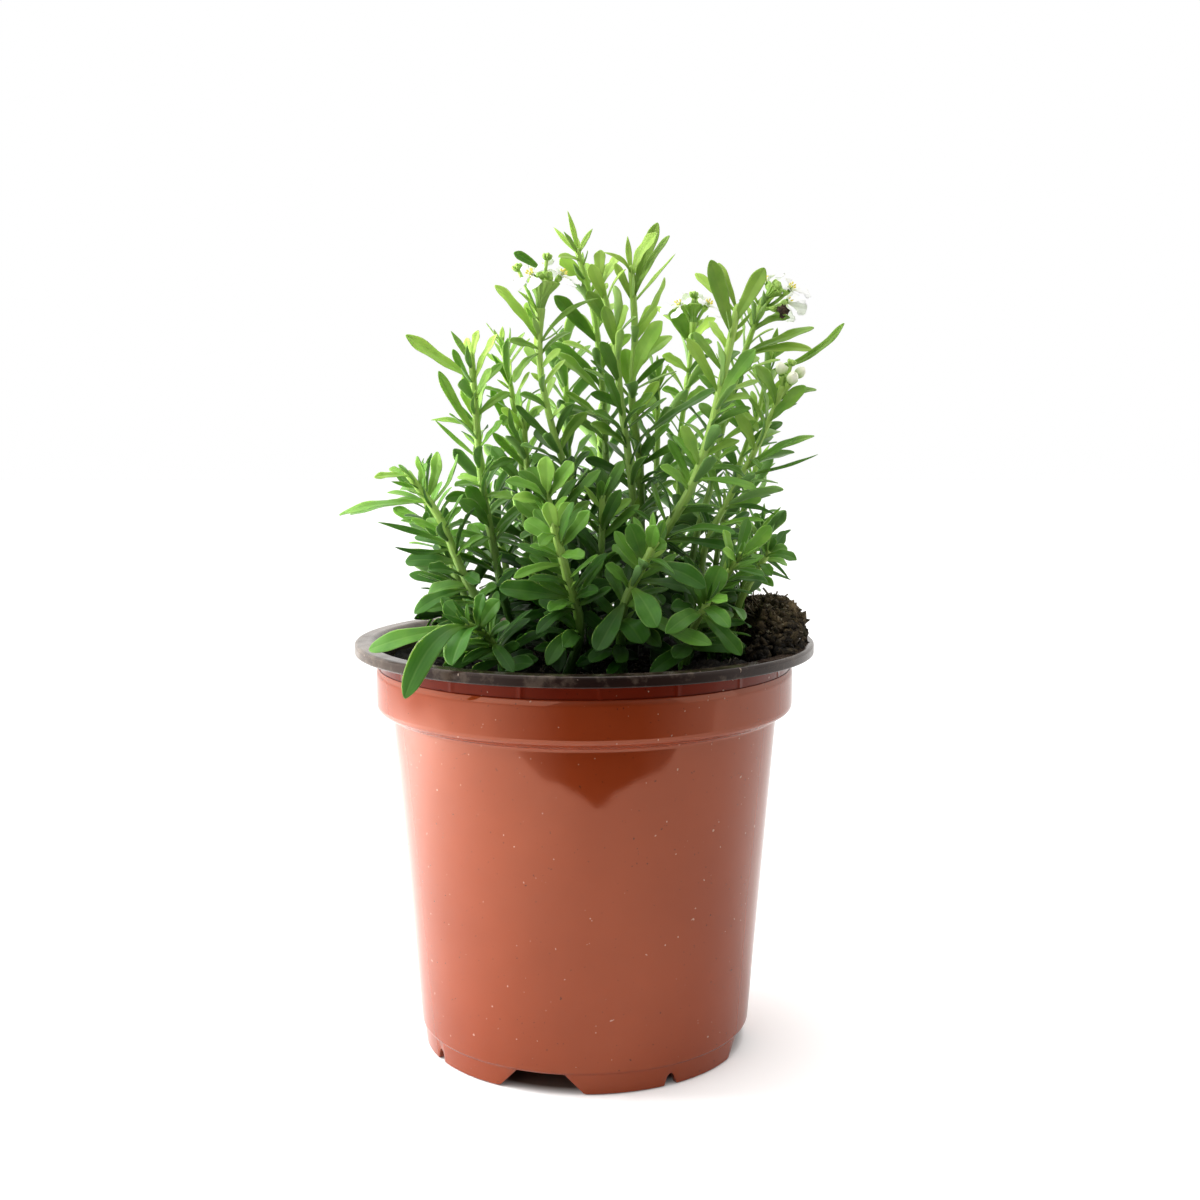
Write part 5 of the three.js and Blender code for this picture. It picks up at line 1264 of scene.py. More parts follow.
def loose_fibres(shape, draw, count):
    """Bent peat fibres, every second one on the heap at the right."""
    for i in range(count):
        out, at = (SOIL_EDGE - 4) * math.sqrt(draw.random()), draw.random() * 2 * math.pi
        x, y = out * math.sin(at), -out * math.cos(at)
        way, length = draw.random() * 2 * math.pi, draw.uniform(3, 9)
        heaped = i % 2
        if heaped:
            x, y = draw.normal((52, 5), (5, 8))
            length = draw.uniform(1.5, 4.5)
        steps = np.linspace(-0.5, 0.5, 8) * length
        fx = x + steps * math.cos(way) + draw.normal() * 0.05 * steps ** 2
        fy = y + steps * math.sin(way) + draw.normal() * 0.05 * steps ** 2
        if np.hypot(fx, fy).max() > (SPILL_REACH[1] if heaped else SOIL_EDGE - 1):
            continue
        if heaped:
            middle = pile_heights(x, y)[1] + 0.3
            fz = middle + steps * draw.normal() * 0.6
        else:
            fz = soil_relief(fx, fy) + 0.15 + 0.5 * np.abs(np.sin(steps + way))
        radius = draw.uniform(0.08, 0.22 + 0.1 * heaped)
        tube(shape, np.stack([fx, fy, fz], -1), np.full(8, radius), 4,
             (draw.uniform(0.55, 0.9), draw.random(), 0))


def pale_root(shape):
    t = np.linspace(0, 1, 22)
    x, y = ROOT_START[0] + ROOT_WAY[0] * t, ROOT_START[1] + ROOT_WAY[1] * t + 2.5 * np.sin(5 * t)
    z = soil_relief(x, y) + 0.5 + 2.2 * np.sin(math.pi * t) ** 2
    tube(shape, np.stack([x, y, z], -1), 0.28 - 0.12 * t, 7, (0.92, 0.3, 0))


def build_soil(settings, materials):
    """The peat with all that lies on it, as one piece."""
    draw = np.random.default_rng(settings.seed)
    shape = Shape()
    peat_plug(shape)
    loose_crumbs(shape, draw, settings.crumbs)
    spill(shape, draw, settings.spilled)
    loose_fibres(shape, draw, settings.fibres)
    pale_root(shape)
    return shape.make("peat_surface", materials, "peat", ["soil"])


# ------ pot


def rounded(section):
    """The places of a section with each of its corners rounded as far as it says."""
    out = []
    for i, (r, z, radius) in enumerate(section):
        here = vec(r, z)
        if radius <= 0 or i in (0, len(section) - 1):
            out.append(here)
            continue
        before, after = vec(section[i - 1][:2]), vec(section[i + 1][:2])
        back, ahead = before - here, after - here
        room = min(radius, 0.45 * np.linalg.norm(back), 0.45 * np.linalg.norm(ahead))
        out.extend(bend_points(here + unit(back) * room, here, here + unit(ahead) * room,
                               CORNER_STEPS))
    return out


def foot_rise(turn):
    """How far the foot's lower edge is cut up at turns round the pot, in degrees."""
    rise = np.zeros_like(turn)
    for quarter in range(4):
        for middle, wide, narrow, height in (
                (WIDE_NOTCH_TURN, WIDE_NOTCH_BOTTOM, WIDE_NOTCH_TOP, STEP_HEIGHT - 0.25),
                (SMALL_NOTCH_TURN, SMALL_NOTCH_WIDTH, SMALL_NOTCH_WIDTH / 2, SMALL_NOTCH_HEIGHT)):
            away = (turn - middle - 90 * quarter + 180) % 360 - 180
            off = np.abs(np.radians(away)) * FOOT_RADIUS
            slope = np.clip((wide / 2 - off) / ((wide - narrow) / 2), 0, 1)
            rise = np.maximum(rise, height * slope)
    return rise


def pot_profile():
    """Places round the pot's section, from the middle of its floor over the rim to below."""
    # Corners with how far each is rounded; the dark layer ends under the rim
    corners = rounded([
        (0.4, FLOOR_TOP, 0), (FOOT_RADIUS - WALL, FLOOR_TOP, 1.2),
        (BODY_TOP_RADIUS - WALL, SHOULDER_LOW, 0.9), (BAND_RADIUS - WALL, SHOULDER_HIGH, 0.9),
        (BAND_RADIUS - WALL, LIP_LOW, 0.9), (LIP_RADIUS, RIM_TOP, 0.9), (RIM_RADIUS, RIM_TOP, 0.9),
        (RIM_RADIUS, UNDER_RIM, 0.5), (DARK_END, UNDER_RIM, 0),
        (RIM_RADIUS - 1, UNDER_RIM, 0), (BAND_RADIUS, UNDER_RIM, 0.4),
        (BAND_RADIUS, COLLAR_TOP, 0.15), (BAND_RADIUS + 0.3, COLLAR_TOP, 0.12),
        (COLLAR_RADIUS, COLLAR_TOP - 1.3, 0.6), (COLLAR_RADIUS, COLLAR_BOTTOM, 1.3),
        (BODY_TOP_RADIUS, BODY_TOP, 0.7), (STEP_RADIUS, STEP_HEIGHT + STEP_DEPTH, 0.35),
        (STEP_RADIUS - STEP_DEPTH, STEP_HEIGHT, 0.2), (FOOT_RADIUS, 0, 0.25),
        (FOOT_RADIUS - FOOT_WALL, 0, 0.25), (FOOT_RADIUS - FOOT_WALL, FLOOR_UNDERSIDE, 0.4),
        (0.4, FLOOR_UNDERSIDE, 0),
    ])
    profile = [corners[0]]
    for before, after in zip(corners, corners[1:]):
        # Long stretches get a point close to each end, so that they shade as flat
        reach = np.linalg.norm(after - before)
        steps = max(1, int(reach / LONGEST_STEP))
        shares = [s / steps for s in range(1, steps + 1)]
        if reach > 0.7:
            shares += [0.15 / reach, 1 - 0.15 / reach]
        profile.extend(mix(before, after, s) for s in sorted(shares))
    return np.array(profile)


def off_rib(degrees, settings):
    """How far turns round the pot are from the nearest rib, in degrees."""
    half = RIB_GAP / 2
    return np.abs((degrees - settings.rib_turn + half) % RIB_GAP - half)


def pot_columns(settings):
    """Turns round the pot, in radians: even ones, and narrow ones at each rib in the band."""
    turn = np.arange(settings.sides) * 360 / settings.sides
    turn = turn[off_rib(turn, settings) > 0.75]
    ribs = settings.rib_turn + float(RIB_GAP) * np.arange(360 // RIB_GAP)
    narrow = [ribs + off for off in (-RIB_WIDE, -RIB_NARROW, 0, RIB_NARROW, RIB_WIDE)]
    return np.radians(np.sort(np.concatenate([turn, *narrow]) % 360))


def drill(pot, materials):
    """Cuts the drain holes through the pot's floor."""
    cutters = Shape()
    for quarter in range(4):
        at = math.radians(WIDE_NOTCH_TURN + 90 * quarter)
        x, y = DRAIN_HOLE_RING * math.sin(at), -DRAIN_HOLE_RING * math.cos(at)
        tube(cutters, [(x, y, 3), (x, y, 7), (x, y, 11)], [DRAIN_HOLE_RADIUS] * 3, 48, (0, 0, 0))
    cutter = cutters.make("drain_holes", materials, "pot_plastic")
    cut = pot.modifiers.new("holes", "BOOLEAN")
    cut.operation, cut.object, cut.solver = "DIFFERENCE", cutter, "EXACT"
    graph = bpy.context.evaluated_depsgraph_get()
    pot.data = bpy.data.meshes.new_from_object(pot.evaluated_get(graph))
    pot.modifiers.clear()
    bpy.data.objects.remove(cutter)


def mark_layers(mesh, profile, rim_end):
    """Each corner takes its layer from the nearest place of the section."""
    spots = np.empty(len(mesh.vertices) * 3, np.float32)
    mesh.vertices.foreach_get("co", spots)
    spots = spots.reshape(-1, 3) / MM
    flat = np.stack([np.hypot(spots[:, 0], spots[:, 1]), spots[:, 2]], -1)
    near = np.linalg.norm(flat[:, None] - profile, axis=2).argmin(1)
    dark = near <= rim_end
    band = (profile[near, 1] > COLLAR_TOP - 0.05) & ~dark
    values = np.stack([dark, np.arctan2(spots[:, 0], -spots[:, 1]), band], -1)
    mesh.attributes["blade"].data.foreach_set("vector", values.astype(np.float32).ravel())


def build_pot(settings, materials):
    """The pot's shell turned from its section, with ribs, notches and drain holes."""
    profile, turn = pot_profile(), pot_columns(settings)
    order = np.arange(len(profile))
    r, t = np.meshgrid(profile[:, 0], turn, indexing="ij")
    z = np.repeat(profile[:, 1:], len(turn), axis=1)
    rim_end = int(np.linalg.norm(profile - (DARK_END, UNDER_RIM), axis=1).argmin())
    # Thin upright ribs in the band under the rim
    in_band = (z > COLLAR_TOP + 0.05) & (z < UNDER_RIM - 0.05) & (order > rim_end)[:, None]
    ridge = np.clip((RIB_WIDE - off_rib(np.degrees(t), settings)) / (RIB_WIDE - RIB_NARROW), 0, 1)
    r = r + np.where(in_band, RIB_HEIGHT * ridge, 0)
    # The moulding isn't perfectly round
    lean = 1 + settings.wobble * (np.sin(2 * t + 0.6) + 0.5 * np.sin(3 * t + 2)) / 1000
    foot = (z < STEP_HEIGHT) & (r > FOOT_RADIUS - FOOT_WALL - 0.6)
    cut = foot_rise(np.degrees(t))
    z = np.where(foot, cut + z * (STEP_HEIGHT - cut) / STEP_HEIGHT, z)
    points = np.stack([r * lean * np.sin(t), -r * lean * np.cos(t), z], -1)
    shape = Shape()
    shape.add_rings(points, [(0, 0, FLOOR_TOP), (0, 0, FLOOR_UNDERSIDE)])
    pot = shape.make("pot_shell", materials, "pot_plastic", ["pot"])
    drill(pot, materials)
    mark_layers(pot.data, profile, rim_end)
    return pot


# ------ materials


class Nodes:
    """The node tree of a material or a world, with short ways to add and join nodes."""

    def __init__(self, name, family=bpy.data.materials):
        self.home = family.new(name)
        self.home.use_nodes = True
        self.tree = self.home.node_tree
        self.column = 0

    def add(self, kind, inputs=None, **settings):
        """A node with its settings, and with its inputs set or joined."""
        node = self.tree.nodes.new(kind)
        self.column += 1
        node.location = (-260 * (self.column % 7) - 300, -220 * (self.column // 7))
        for key, value in settings.items():
            setattr(node, key, value)
        for key, value in (inputs or {}).items():
            self.into(node, key, value)
        return node

    def into(self, node, key, value):
        """Joins an input to another node's output, or sets it to a value."""
        socket = node.inputs[key]
        if isinstance(value, bpy.types.NodeSocket):
            self.tree.links.new(value, socket)
        elif socket.type == "RGBA":
            socket.default_value = (*value[:3], 1)
        else:
            socket.default_value = value

    def parts(self, attribute):
        """The three numbers of a vector kept at the vertices."""
        source = self.add("ShaderNodeAttribute", attribute_name=attribute)
        split = self.add("ShaderNodeSeparateXYZ", {0: source.outputs["Vector"]})
        return split.outputs[0], split.outputs[1], split.outputs[2]

    def spot(self):
        """The three coordinates of a place on the object, in metres."""
        place = self.add("ShaderNodeTexCoord").outputs["Object"]
        return self.add("ShaderNodeSeparateXYZ", {0: place}).outputs

    def sum(self, operation, *values, clamp=False):
        """One step of arithmetic."""
        node = self.add("ShaderNodeMath", dict(enumerate(values)), operation=operation,
                        use_clamp=clamp)
        return node.outputs[0]

    def reach(self, x, y):
        """How far a place is from the pot's axis."""
        return self.sum("SQRT", self.sum("ADD", self.sum("MULTIPLY", x, x),
                                         self.sum("MULTIPLY", y, y)))

    def sway(self, value, amount):
        """A value from 0 to 1 as a change up or down."""
        return self.sum("MULTIPLY", self.sum("SUBTRACT", value, 0.5), amount)

    def waves(self, value, count, shift):
        """Waves along a value, shifted by another one."""
        return self.sum("SINE", self.sum("ADD", self.sum("MULTIPLY", value, count), shift))

    def faint(self, waves, amount):
        """Waves as a share from 0 to twice an amount."""
        return self.sum("MULTIPLY", self.sum("ADD", waves, 1.0), amount)

    def noise(self, scale, detail=4.0, roughness=0.55, stretch=None):
        """Cloudy noise over the object, from 0 to 1."""
        place = self.add("ShaderNodeTexCoord").outputs["Object"]
        if stretch:
            place = self.add("ShaderNodeMapping", {"Vector": place, "Scale": stretch}).outputs[0]
        node = self.add("ShaderNodeTexNoise", {"Vector": place, "Scale": scale, "Detail": detail,
                                               "Roughness": roughness})
        return node.outputs[0]

    def ramp(self, value, *stops):
        """Colours or grey levels at places from 0 to 1."""
        node = self.add("ShaderNodeValToRGB", {0: value})
        ramp = node.color_ramp
        while len(ramp.elements) < len(stops):
            ramp.elements.new(0.5)
        for element, (at, colour) in zip(ramp.elements, stops):
            element.position = at
            if isinstance(colour, (int, float)):
                colour = (colour, colour, colour)
            element.color = (*colour[:3], 1)
        return node.outputs[0]

    def blend(self, share, first, second, how="MIX"):
        """Two colours mixed by a share."""
        node = self.add("ShaderNodeMix", data_type="RGBA", blend_type=how)
        for key, value in ((0, share), (6, first), (7, second)):
            self.into(node, key, value)
        return node.outputs[2]

    def finish(self, **inputs):
        """The material, with the inputs of its shader set."""
        for key, value in inputs.items():
            name = key.replace("_", " ").title().replace("Ior", "IOR")
            self.into(self.tree.nodes["Principled BSDF"], name, value)
        return self.home

    def bump(self, height, strength, distance):
        """Relief that the shading alone shows."""
        node = self.add("ShaderNodeBump", {"Height": height, "Strength": strength,
                                           "Distance": distance})
        self.into(self.tree.nodes["Principled BSDF"], "Normal", node.outputs[0])


def painted_inner_shade(n):
    """Painted shade: what is low and inside the plant is darkened to a deeper green, as in shade.
    """
    x, y, z = n.spot()
    lit = n.sum("MULTIPLY_ADD", n.reach(x, y), 14.0, n.sum("MULTIPLY_ADD", z, 11.0, -1.31))
    return n.ramp(lit, (0.2, (0.022, 0.06, 0.013)), (0.45, (0.15, 0.25, 0.11)),
                  (0.7, (0.57, 0.61, 0.52)), (0.95, (1.0, 1.0, 1.0)))


def leaf_material(settings):
    """Leaf blades: yellow-green when young, blue-green when old, paler under and at the edges."""
    n = Nodes("Leaf blade")
    along, across, under = n.parts("blade")
    age, luck, _ = n.parts("tone")
    blotch = n.noise(140, 3)
    fresh = n.sum("ADD", n.sum("ADD", age, n.sway(luck, 0.45)), n.sway(blotch, 0.5))
    tint = n.ramp(fresh, (0.15, settings.old_leaf), (0.55, settings.leaf),
                  (0.95, settings.young_leaf))
    # The blade's foot is paler than its upper half
    tint = n.blend(n.ramp(along, (0.0, 0.65), (0.42, 0.0)), tint, settings.stem)
    beneath = n.blend(0.5, tint, settings.leaf_under)
    tint = n.blend(under, tint, beneath)
    side = n.sum("ABSOLUTE", across)
    midrib = n.ramp(side, (0.02, 0.13), (0.12, 0.0))
    tint = n.blend(midrib, tint, settings.vein)
    lines = n.waves(across, 19.0, n.sum("MULTIPLY", n.noise(420, 2), 2.4))
    tint = n.blend(n.faint(lines, 0.015), tint, settings.vein)
    margin = n.ramp(side, (0.88, 0.0), (0.97, 0.22))
    tint = n.blend(margin, tint, settings.vein)
    gloss = n.ramp(n.noise(260, 3), (0.3, 0.28), (0.75, 0.45))
    # Painted shade, low and inside the plant
    tint = n.blend(1.0, tint, painted_inner_shade(n), "MULTIPLY")
    tint = n.blend(1.0, tint, n.ramp(luck, (0.0, 0.6), (1.0, 1.0)), "MULTIPLY")
    n.bump(n.noise(300, 3), 0.25, 0.0002)
    return n.finish(base_color=tint, roughness=gloss, subsurface_weight=0.15,
                    subsurface_radius=(0.0008, 0.0011, 0.0004), subsurface_scale=1.0,
                    specular_ior_level=0.14)


def stem_material(settings):
    """Stems, stalks and cups: pale yellow-green with lengthwise lines, brownish at the soil."""
    n = Nodes("Stem")
    along, around, _ = n.parts("blade")
    _, luck, _ = n.parts("tone")
    lines = n.waves(around, 10.0, n.sum("MULTIPLY", n.noise(90, 3), 3.0))
    tint = n.ramp(n.sum("ADD", n.sum("MULTIPLY", along, 0.75), n.sum("MULTIPLY", luck, 0.2)),
                  (0.02, settings.stem_foot), (0.09, settings.leaf), (0.3, settings.stem),
                  (0.95, settings.young_leaf))
    tint = n.blend(n.faint(lines, 0.16), tint, settings.vein)
    tint = n.blend(n.ramp(n.noise(240, 5), (0.5, 0.0), (0.75, 0.18)), tint, settings.leaf)
    # Painted shade, low and inside the plant
    tint = n.blend(1.0, tint, painted_inner_shade(n), "MULTIPLY")
    n.bump(n.sum("ADD", n.sum("MULTIPLY", lines, 0.4), n.noise(400, 3)), 0.3, 0.0002)
    return n.finish(base_color=tint, roughness=n.ramp(n.noise(300), (0.3, 0.4), (0.7, 0.6)),
                    subsurface_weight=0.15, subsurface_radius=(0.001, 0.0012, 0.0005),
                    subsurface_scale=1.0)


def petal_material(settings):
    """White petals with faint veins, greenish where they narrow."""
    n = Nodes("Petal")
    along, across, _ = n.parts("blade")
    veins = n.waves(across, 13.0, n.sum("MULTIPLY", n.noise(300, 2), 3.0))
    tint = n.ramp(along, (0.05, settings.petal_foot), (0.32, settings.petal))
    tint = n.blend(n.faint(veins, 0.03), tint, (0.75, 0.78, 0.72))
    tint = n.blend(n.ramp(n.noise(500, 3), (0.45, 0.0), (0.75, 0.06)), tint, (0.8, 0.78, 0.72))
    n.bump(n.sum("ADD", veins, n.noise(500, 3)), 0.2, 0.0001)
    return n.finish(base_color=tint, roughness=n.ramp(n.noise(400), (0.3, 0.5), (0.7, 0.65)),
                    subsurface_weight=0.35, subsurface_radius=(0.001, 0.001, 0.0009),
                    subsurface_scale=1.0)


def bud_material(settings, foliage):
    """Closed buds, green at the foot and white at the tip."""
    n = Nodes("White bud")
    along, around, _ = n.parts("blade")
    edge = n.sum("ADD", along, n.sum("MULTIPLY", n.noise(500, 3), 0.3))
    tint = n.ramp(edge, (0.22, foliage.young_leaf), (0.5, settings.petal_foot),
                  (0.95, settings.bud_tip))
    folds = n.waves(around, 4.0, n.sum("MULTIPLY", along, 5.0))
    n.bump(n.sum("ADD", folds, n.noise(500, 3)), 0.35, 0.0002)
    return n.finish(base_color=tint, roughness=n.ramp(n.noise(300), (0.3, 0.45), (0.7, 0.6)),
                    subsurface_weight=0.2, subsurface_radius=(0.001, 0.001, 0.0006),
                    subsurface_scale=1.0)


def speckled_material(name, low, high, rough, scale, depth):
    """A mottled, grainy finish between two colours."""
    n = Nodes(name)
    grain = n.noise(scale, 6, 0.65)
    tint = n.ramp(grain, (0.32, low), (0.68, high))
    n.bump(grain, 0.5, depth)
    return n.finish(base_color=tint, roughness=n.ramp(n.noise(scale * 0.4), (0.3, rough[0]),
                                                      (0.7, rough[1])))


def peat_material(settings):
    """Peat: near black, browner on its heaps, with fibres and pale crumbs told by their tone."""
    n = Nodes("Peat")
    kind, luck, _ = n.parts("tone")
    heap = n.sum("MULTIPLY", n.sum("SUBTRACT", n.spot()[2], 0.112), 90.0, clamp=True)
    grain = n.noise(620, 8, 0.7)
    shade = n.sum("ADD", grain, n.sum("MULTIPLY", heap, 0.22))
    shade = n.sum("ADD", shade, n.sway(luck, 0.25))
    base = n.ramp(shade, (0.4, settings.dark), (0.58, settings.middle), (0.8, settings.light))
    fibre = n.ramp(kind, (0.5, settings.middle), (0.66, settings.light), (0.9, settings.pale))
    tint = n.blend(n.ramp(kind, (0.5, 0.0), (0.56, 0.85)), base, fibre)
    clods = n.ramp(n.noise(170, 3), (0.35, 0.5), (0.65, 1.0))
    tint = n.blend(1.0, tint, clods, "MULTIPLY")
    tint = n.blend(1.0, tint, n.ramp(heap, (0.0, 0.22), (1.0, 1.0)), "MULTIPLY")
    moss = n.ramp(n.noise(110, 4), (0.62, 0.0), (0.72, 0.5))
    tint = n.blend(moss, tint, settings.moss)
    n.bump(n.sum("ADD", grain, n.noise(1800, 3)), 0.9, 0.0006)
    return n.finish(base_color=tint, roughness=n.ramp(n.noise(260), (0.3, 0.82), (0.7, 1.0)),
                    specular_ior_level=0.25)


def pot_material(settings):
    """Thin plastic: glossy terracotta outside, near black inside, on the rim and on its edge."""
    n = Nodes("Pot plastic")
    dark, around, band = n.parts("blade")
    cloud = n.noise(28, 3)
    shell = n.ramp(cloud, (0.3, settings.terracotta), (0.75, settings.terracotta_light))
    # Painted shade: the recessed band is made a far darker red, for the flange's shade over it
    shell = n.blend(n.sum("MULTIPLY", band, 0.85), shell, settings.band)
    streak = n.ramp(n.noise(60, 4, stretch=(1, 1, 0.12)), (0.45, 0.0), (0.8, 0.14))
    shell = n.blend(streak, shell, settings.terracotta_light)
    dust = n.ramp(n.noise(900, 2), (0.69, 0.0), (0.74, 0.35))
    rim = n.blend(dust, n.ramp(n.noise(45, 4), (0.35, settings.inner), (0.7, settings.inner_worn)),
                  settings.dust)
    rim = n.blend(n.ramp(n.noise(150, 6, 0.65), (0.52, 0.0), (0.62, 0.3)), rim, settings.dust)
    # Dust on the rim, in patches, thickest at its sides and its back
    # At the sides it is also a painted highlight, for the pale light the rim catches there
    dust_and_side_light = n.ramp(n.sum("MULTIPLY_ADD", around, 0.5 / math.pi, 0.5), (0.3, 0.75), (0.39, 0.0),
                   (0.63, 0.0), (0.71, 0.5), (1.0, 0.75))
    dust_and_side_light = n.blend(1.0, dust_and_side_light, n.ramp(n.noise(110, 5), (0.38, 0.5), (0.6, 1.0)), "MULTIPLY")
    rim = n.blend(dust_and_side_light, rim, settings.dust)
    edge = n.ramp(dark, (0.4, 0.0), (0.6, 1.0))
    tint = n.blend(edge, shell, rim)
    speck = n.ramp(n.noise(1100, 1), (0.755, 0.0), (0.77, 0.75))
    tint = n.blend(speck, tint, settings.inner)
    tint = n.blend(n.ramp(n.noise(760, 1), (0.77, 0.0), (0.785, 0.6)), tint, (0.5, 0.38, 0.3))
    haze = n.ramp(n.noise(130, 5), (0.35, 0.035), (0.75, 0.075))
    haze = n.blend(edge, haze, n.ramp(n.noise(200, 4), (0.35, 0.13), (0.7, 0.26)))
    # The band's weak reflection tint deepens its painted shade
    sheen = n.blend(edge, n.blend(band, settings.sheen, settings.band_sheen), settings.rim_sheen)
    grain = n.sum("MULTIPLY", n.noise(1600, 3), 0.15)
    n.bump(n.sum("ADD", grain, n.sum("MULTIPLY", n.noise(55, 2), 3.0)), 0.1, 0.0002)
    return n.finish(base_color=tint, roughness=haze, ior=2.2, specular_tint=sheen)


# ------ stage

# The table top lies a little under the pot's foot; in metres
TABLE_HALF = 3.0
TABLE_HEIGHT = -0.0002
# Windows: name, place, aim, size, the setting with their power, whether the gloss mirrors them
WINDOWS = [
    ("left_window", (-0.6, -0.72, 0.62), (0, 0, 0.12), (0.9, 1.0), "left_light", True),
    ("low_left_window", (-0.42, 0.05, 0.22), (-0.15, 0, 0), (0.3, 0.35), "low_light", False),
    ("right_window", (0.95, -0.35, 0.45), (0, 0, 0.1), (0.7, 0.9), "right_light", True),
    ("top_window", (0, 0.15, 1.1), (0, 0, 0.1), (1.2, 1.0), "top_light", True),
]


def add_light(name, place, aim, size, power, mirrored):
    """A window that lights the pot, and that its gloss mirrors or not."""
    lamp = bpy.data.lights.new(name, "AREA")
    lamp.shape = "RECTANGLE"
    lamp.size, lamp.size_y = size
    lamp.energy = power
    piece = bpy.data.objects.new(name, lamp)
    bpy.context.scene.collection.objects.link(piece)
    piece.location = place
    piece.rotation_euler = (Vector(aim) - Vector(place)).to_track_quat("-Z", "Y").to_euler()
    piece.visible_camera = False
    piece.visible_glossy = mirrored


def room_level(n, x, y, z, settings):
    """How bright the room is one way: dark in front low down, bright aside, left and above."""
    level = n.sum("MULTIPLY_ADD", n.sum("MULTIPLY", x, x), settings.from_sides,
                  settings.room_light)
    for axis, slope in ((x, settings.from_left), (y, settings.from_behind),
                        (z, settings.from_above)):
        level = n.sum("MULTIPLY_ADD", axis, slope, level)
    return n.sum("MAXIMUM", level, settings.dark_side)


def floor_material(settings):
    """A white table whose end in front of the pot, and the dark room beyond, are painted on it."""
    n = Nodes("Table")
    x, y, _ = n.spot()
    fine = n.ramp(n.noise(30, 3), (0.3, 0.965), (0.7, 0.98))
    # Painted light: its colour for bounced light is paler on its left, so it bounces more from
    # there
    across = n.sum("MULTIPLY_ADD", x, 2.0, 0.5)
    bounced = n.ramp(across, (0.3, 0.97), (0.5, 0.79), (0.9, 0.79))
    # The table's front edge, a little uneven
    edge = n.ramp(across, *((0.5 + 2 * at, settings.table_front - out) for at, out in TABLE_EDGE))
    beyond = n.sum("MULTIPLY", n.sum("ADD", edge, y), -TABLE_EDGE_SHARPNESS, clamp=True)
    # Beyond it the floor is painted with the room's own light and dark; the camera sees it as
    # plain
    away = n.reach(x, y)
    level = room_level(n, n.sum("DIVIDE", x, away), n.sum("DIVIDE", y, away), 0.0, settings)
    far = n.ramp(n.sum("MULTIPLY", level, 0.4), (0.0, 0.0), (0.48, 0.96))
    seen = n.add("ShaderNodeLightPath").outputs["Is Camera Ray"]
    # Painted shadow: the floor under the pot's foot is dark brown, and doesn't glow
    open_air = n.ramp(n.sum("MULTIPLY", away, 8.0), (0.33, 0.0), (0.375, 1.0))
    fine = n.blend(open_air, (0.16, 0.12, 0.1), fine)
    tint = n.blend(seen, n.blend(beyond, bounced, far), fine)
    # Painted light: outside the foot the table glows a little for the camera, lifting its shadows
    return n.finish(base_color=tint, roughness=n.ramp(n.noise(60), (0.3, 0.8), (0.7, 0.9)),
                    specular_ior_level=0.1, emission_color=(1, 1, 1),
                    emission_strength=n.sum("MULTIPLY", n.sum("MULTIPLY", seen, open_air),
                                            settings.table_glow))


def room_world(settings):
    """A bright room, seen as plain white, that is dark low down in front of the pot."""
    n = Nodes("White room", bpy.data.worlds)
    way = n.add("ShaderNodeTexCoord").outputs["Generated"]
    x, y, z = n.add("ShaderNodeSeparateXYZ", {0: way}).outputs
    lit = n.tree.nodes["Background"]
    n.into(lit, "Color", (1, 0.99, 0.97))
    n.into(lit, "Strength", room_level(n, x, y, z, settings))
    plain = n.add("ShaderNodeBackground", {"Color": (1, 1, 1), "Strength": 1.0})
    seen = n.add("ShaderNodeLightPath").outputs["Is Camera Ray"]
    both = n.add("ShaderNodeMixShader", {0: seen, 1: lit.outputs[0], 2: plain.outputs[0]})
    n.into(n.tree.nodes["World Output"], "Surface", both.outputs[0])
    return n.home


def build_stage(settings):
    """The table, the room, its windows and the camera."""
    scene = bpy.context.scene
    mesh = bpy.data.meshes.new("table_top")
    corners = [(-1, -1), (1, -1), (1, 1), (-1, 1)]
    mesh.from_pydata([(TABLE_HALF * x, TABLE_HALF * y, TABLE_HEIGHT) for x, y in corners], [],
                     [(0, 1, 2, 3)])
    mesh.materials.append(floor_material(settings))
    floor = bpy.data.objects.new("table_top", mesh)
    scene.collection.objects.link(floor)

    scene.world = room_world(settings)
    for name, spot, aim, size, power, mirrored in WINDOWS:
        add_light(name, spot, aim, size, getattr(settings, power), mirrored)

    camera = bpy.data.cameras.new("photo_view")
    camera.sensor_width = 36.0
    camera.lens = settings.lens
    camera.dof.use_dof = False
    camera.clip_start, camera.clip_end = 0.01, 20.0
    eye = bpy.data.objects.new("photo_view", camera)
    scene.collection.objects.link(eye)
    eye.location = (settings.camera_x, -settings.camera_distance, settings.camera_height)
    eye.rotation_euler = (math.radians(90) - settings.camera_pitch, 0, 0)
    scene.camera = eye
    scene.view_settings.view_transform = "Standard"


# ------ settings and operators


def length(name, words, default):
    return FloatProperty(name=name, description=words, default=default, subtype="DISTANCE",
                         unit="LENGTH", precision=4)


def power(name, words, default):
    return FloatProperty(name=name, description=words, default=default, unit="POWER")


def whole(name, words, default, **more):
    return IntProperty(name=name, description=words, default=default, **more)


def number(name, words, default, **more):
    return FloatProperty(name=name, description=words, default=default, **more)


def colour(name, words, default):
    return FloatVectorProperty(name=name, description=words, default=default, size=3,
                               subtype="COLOR", min=0, max=1)


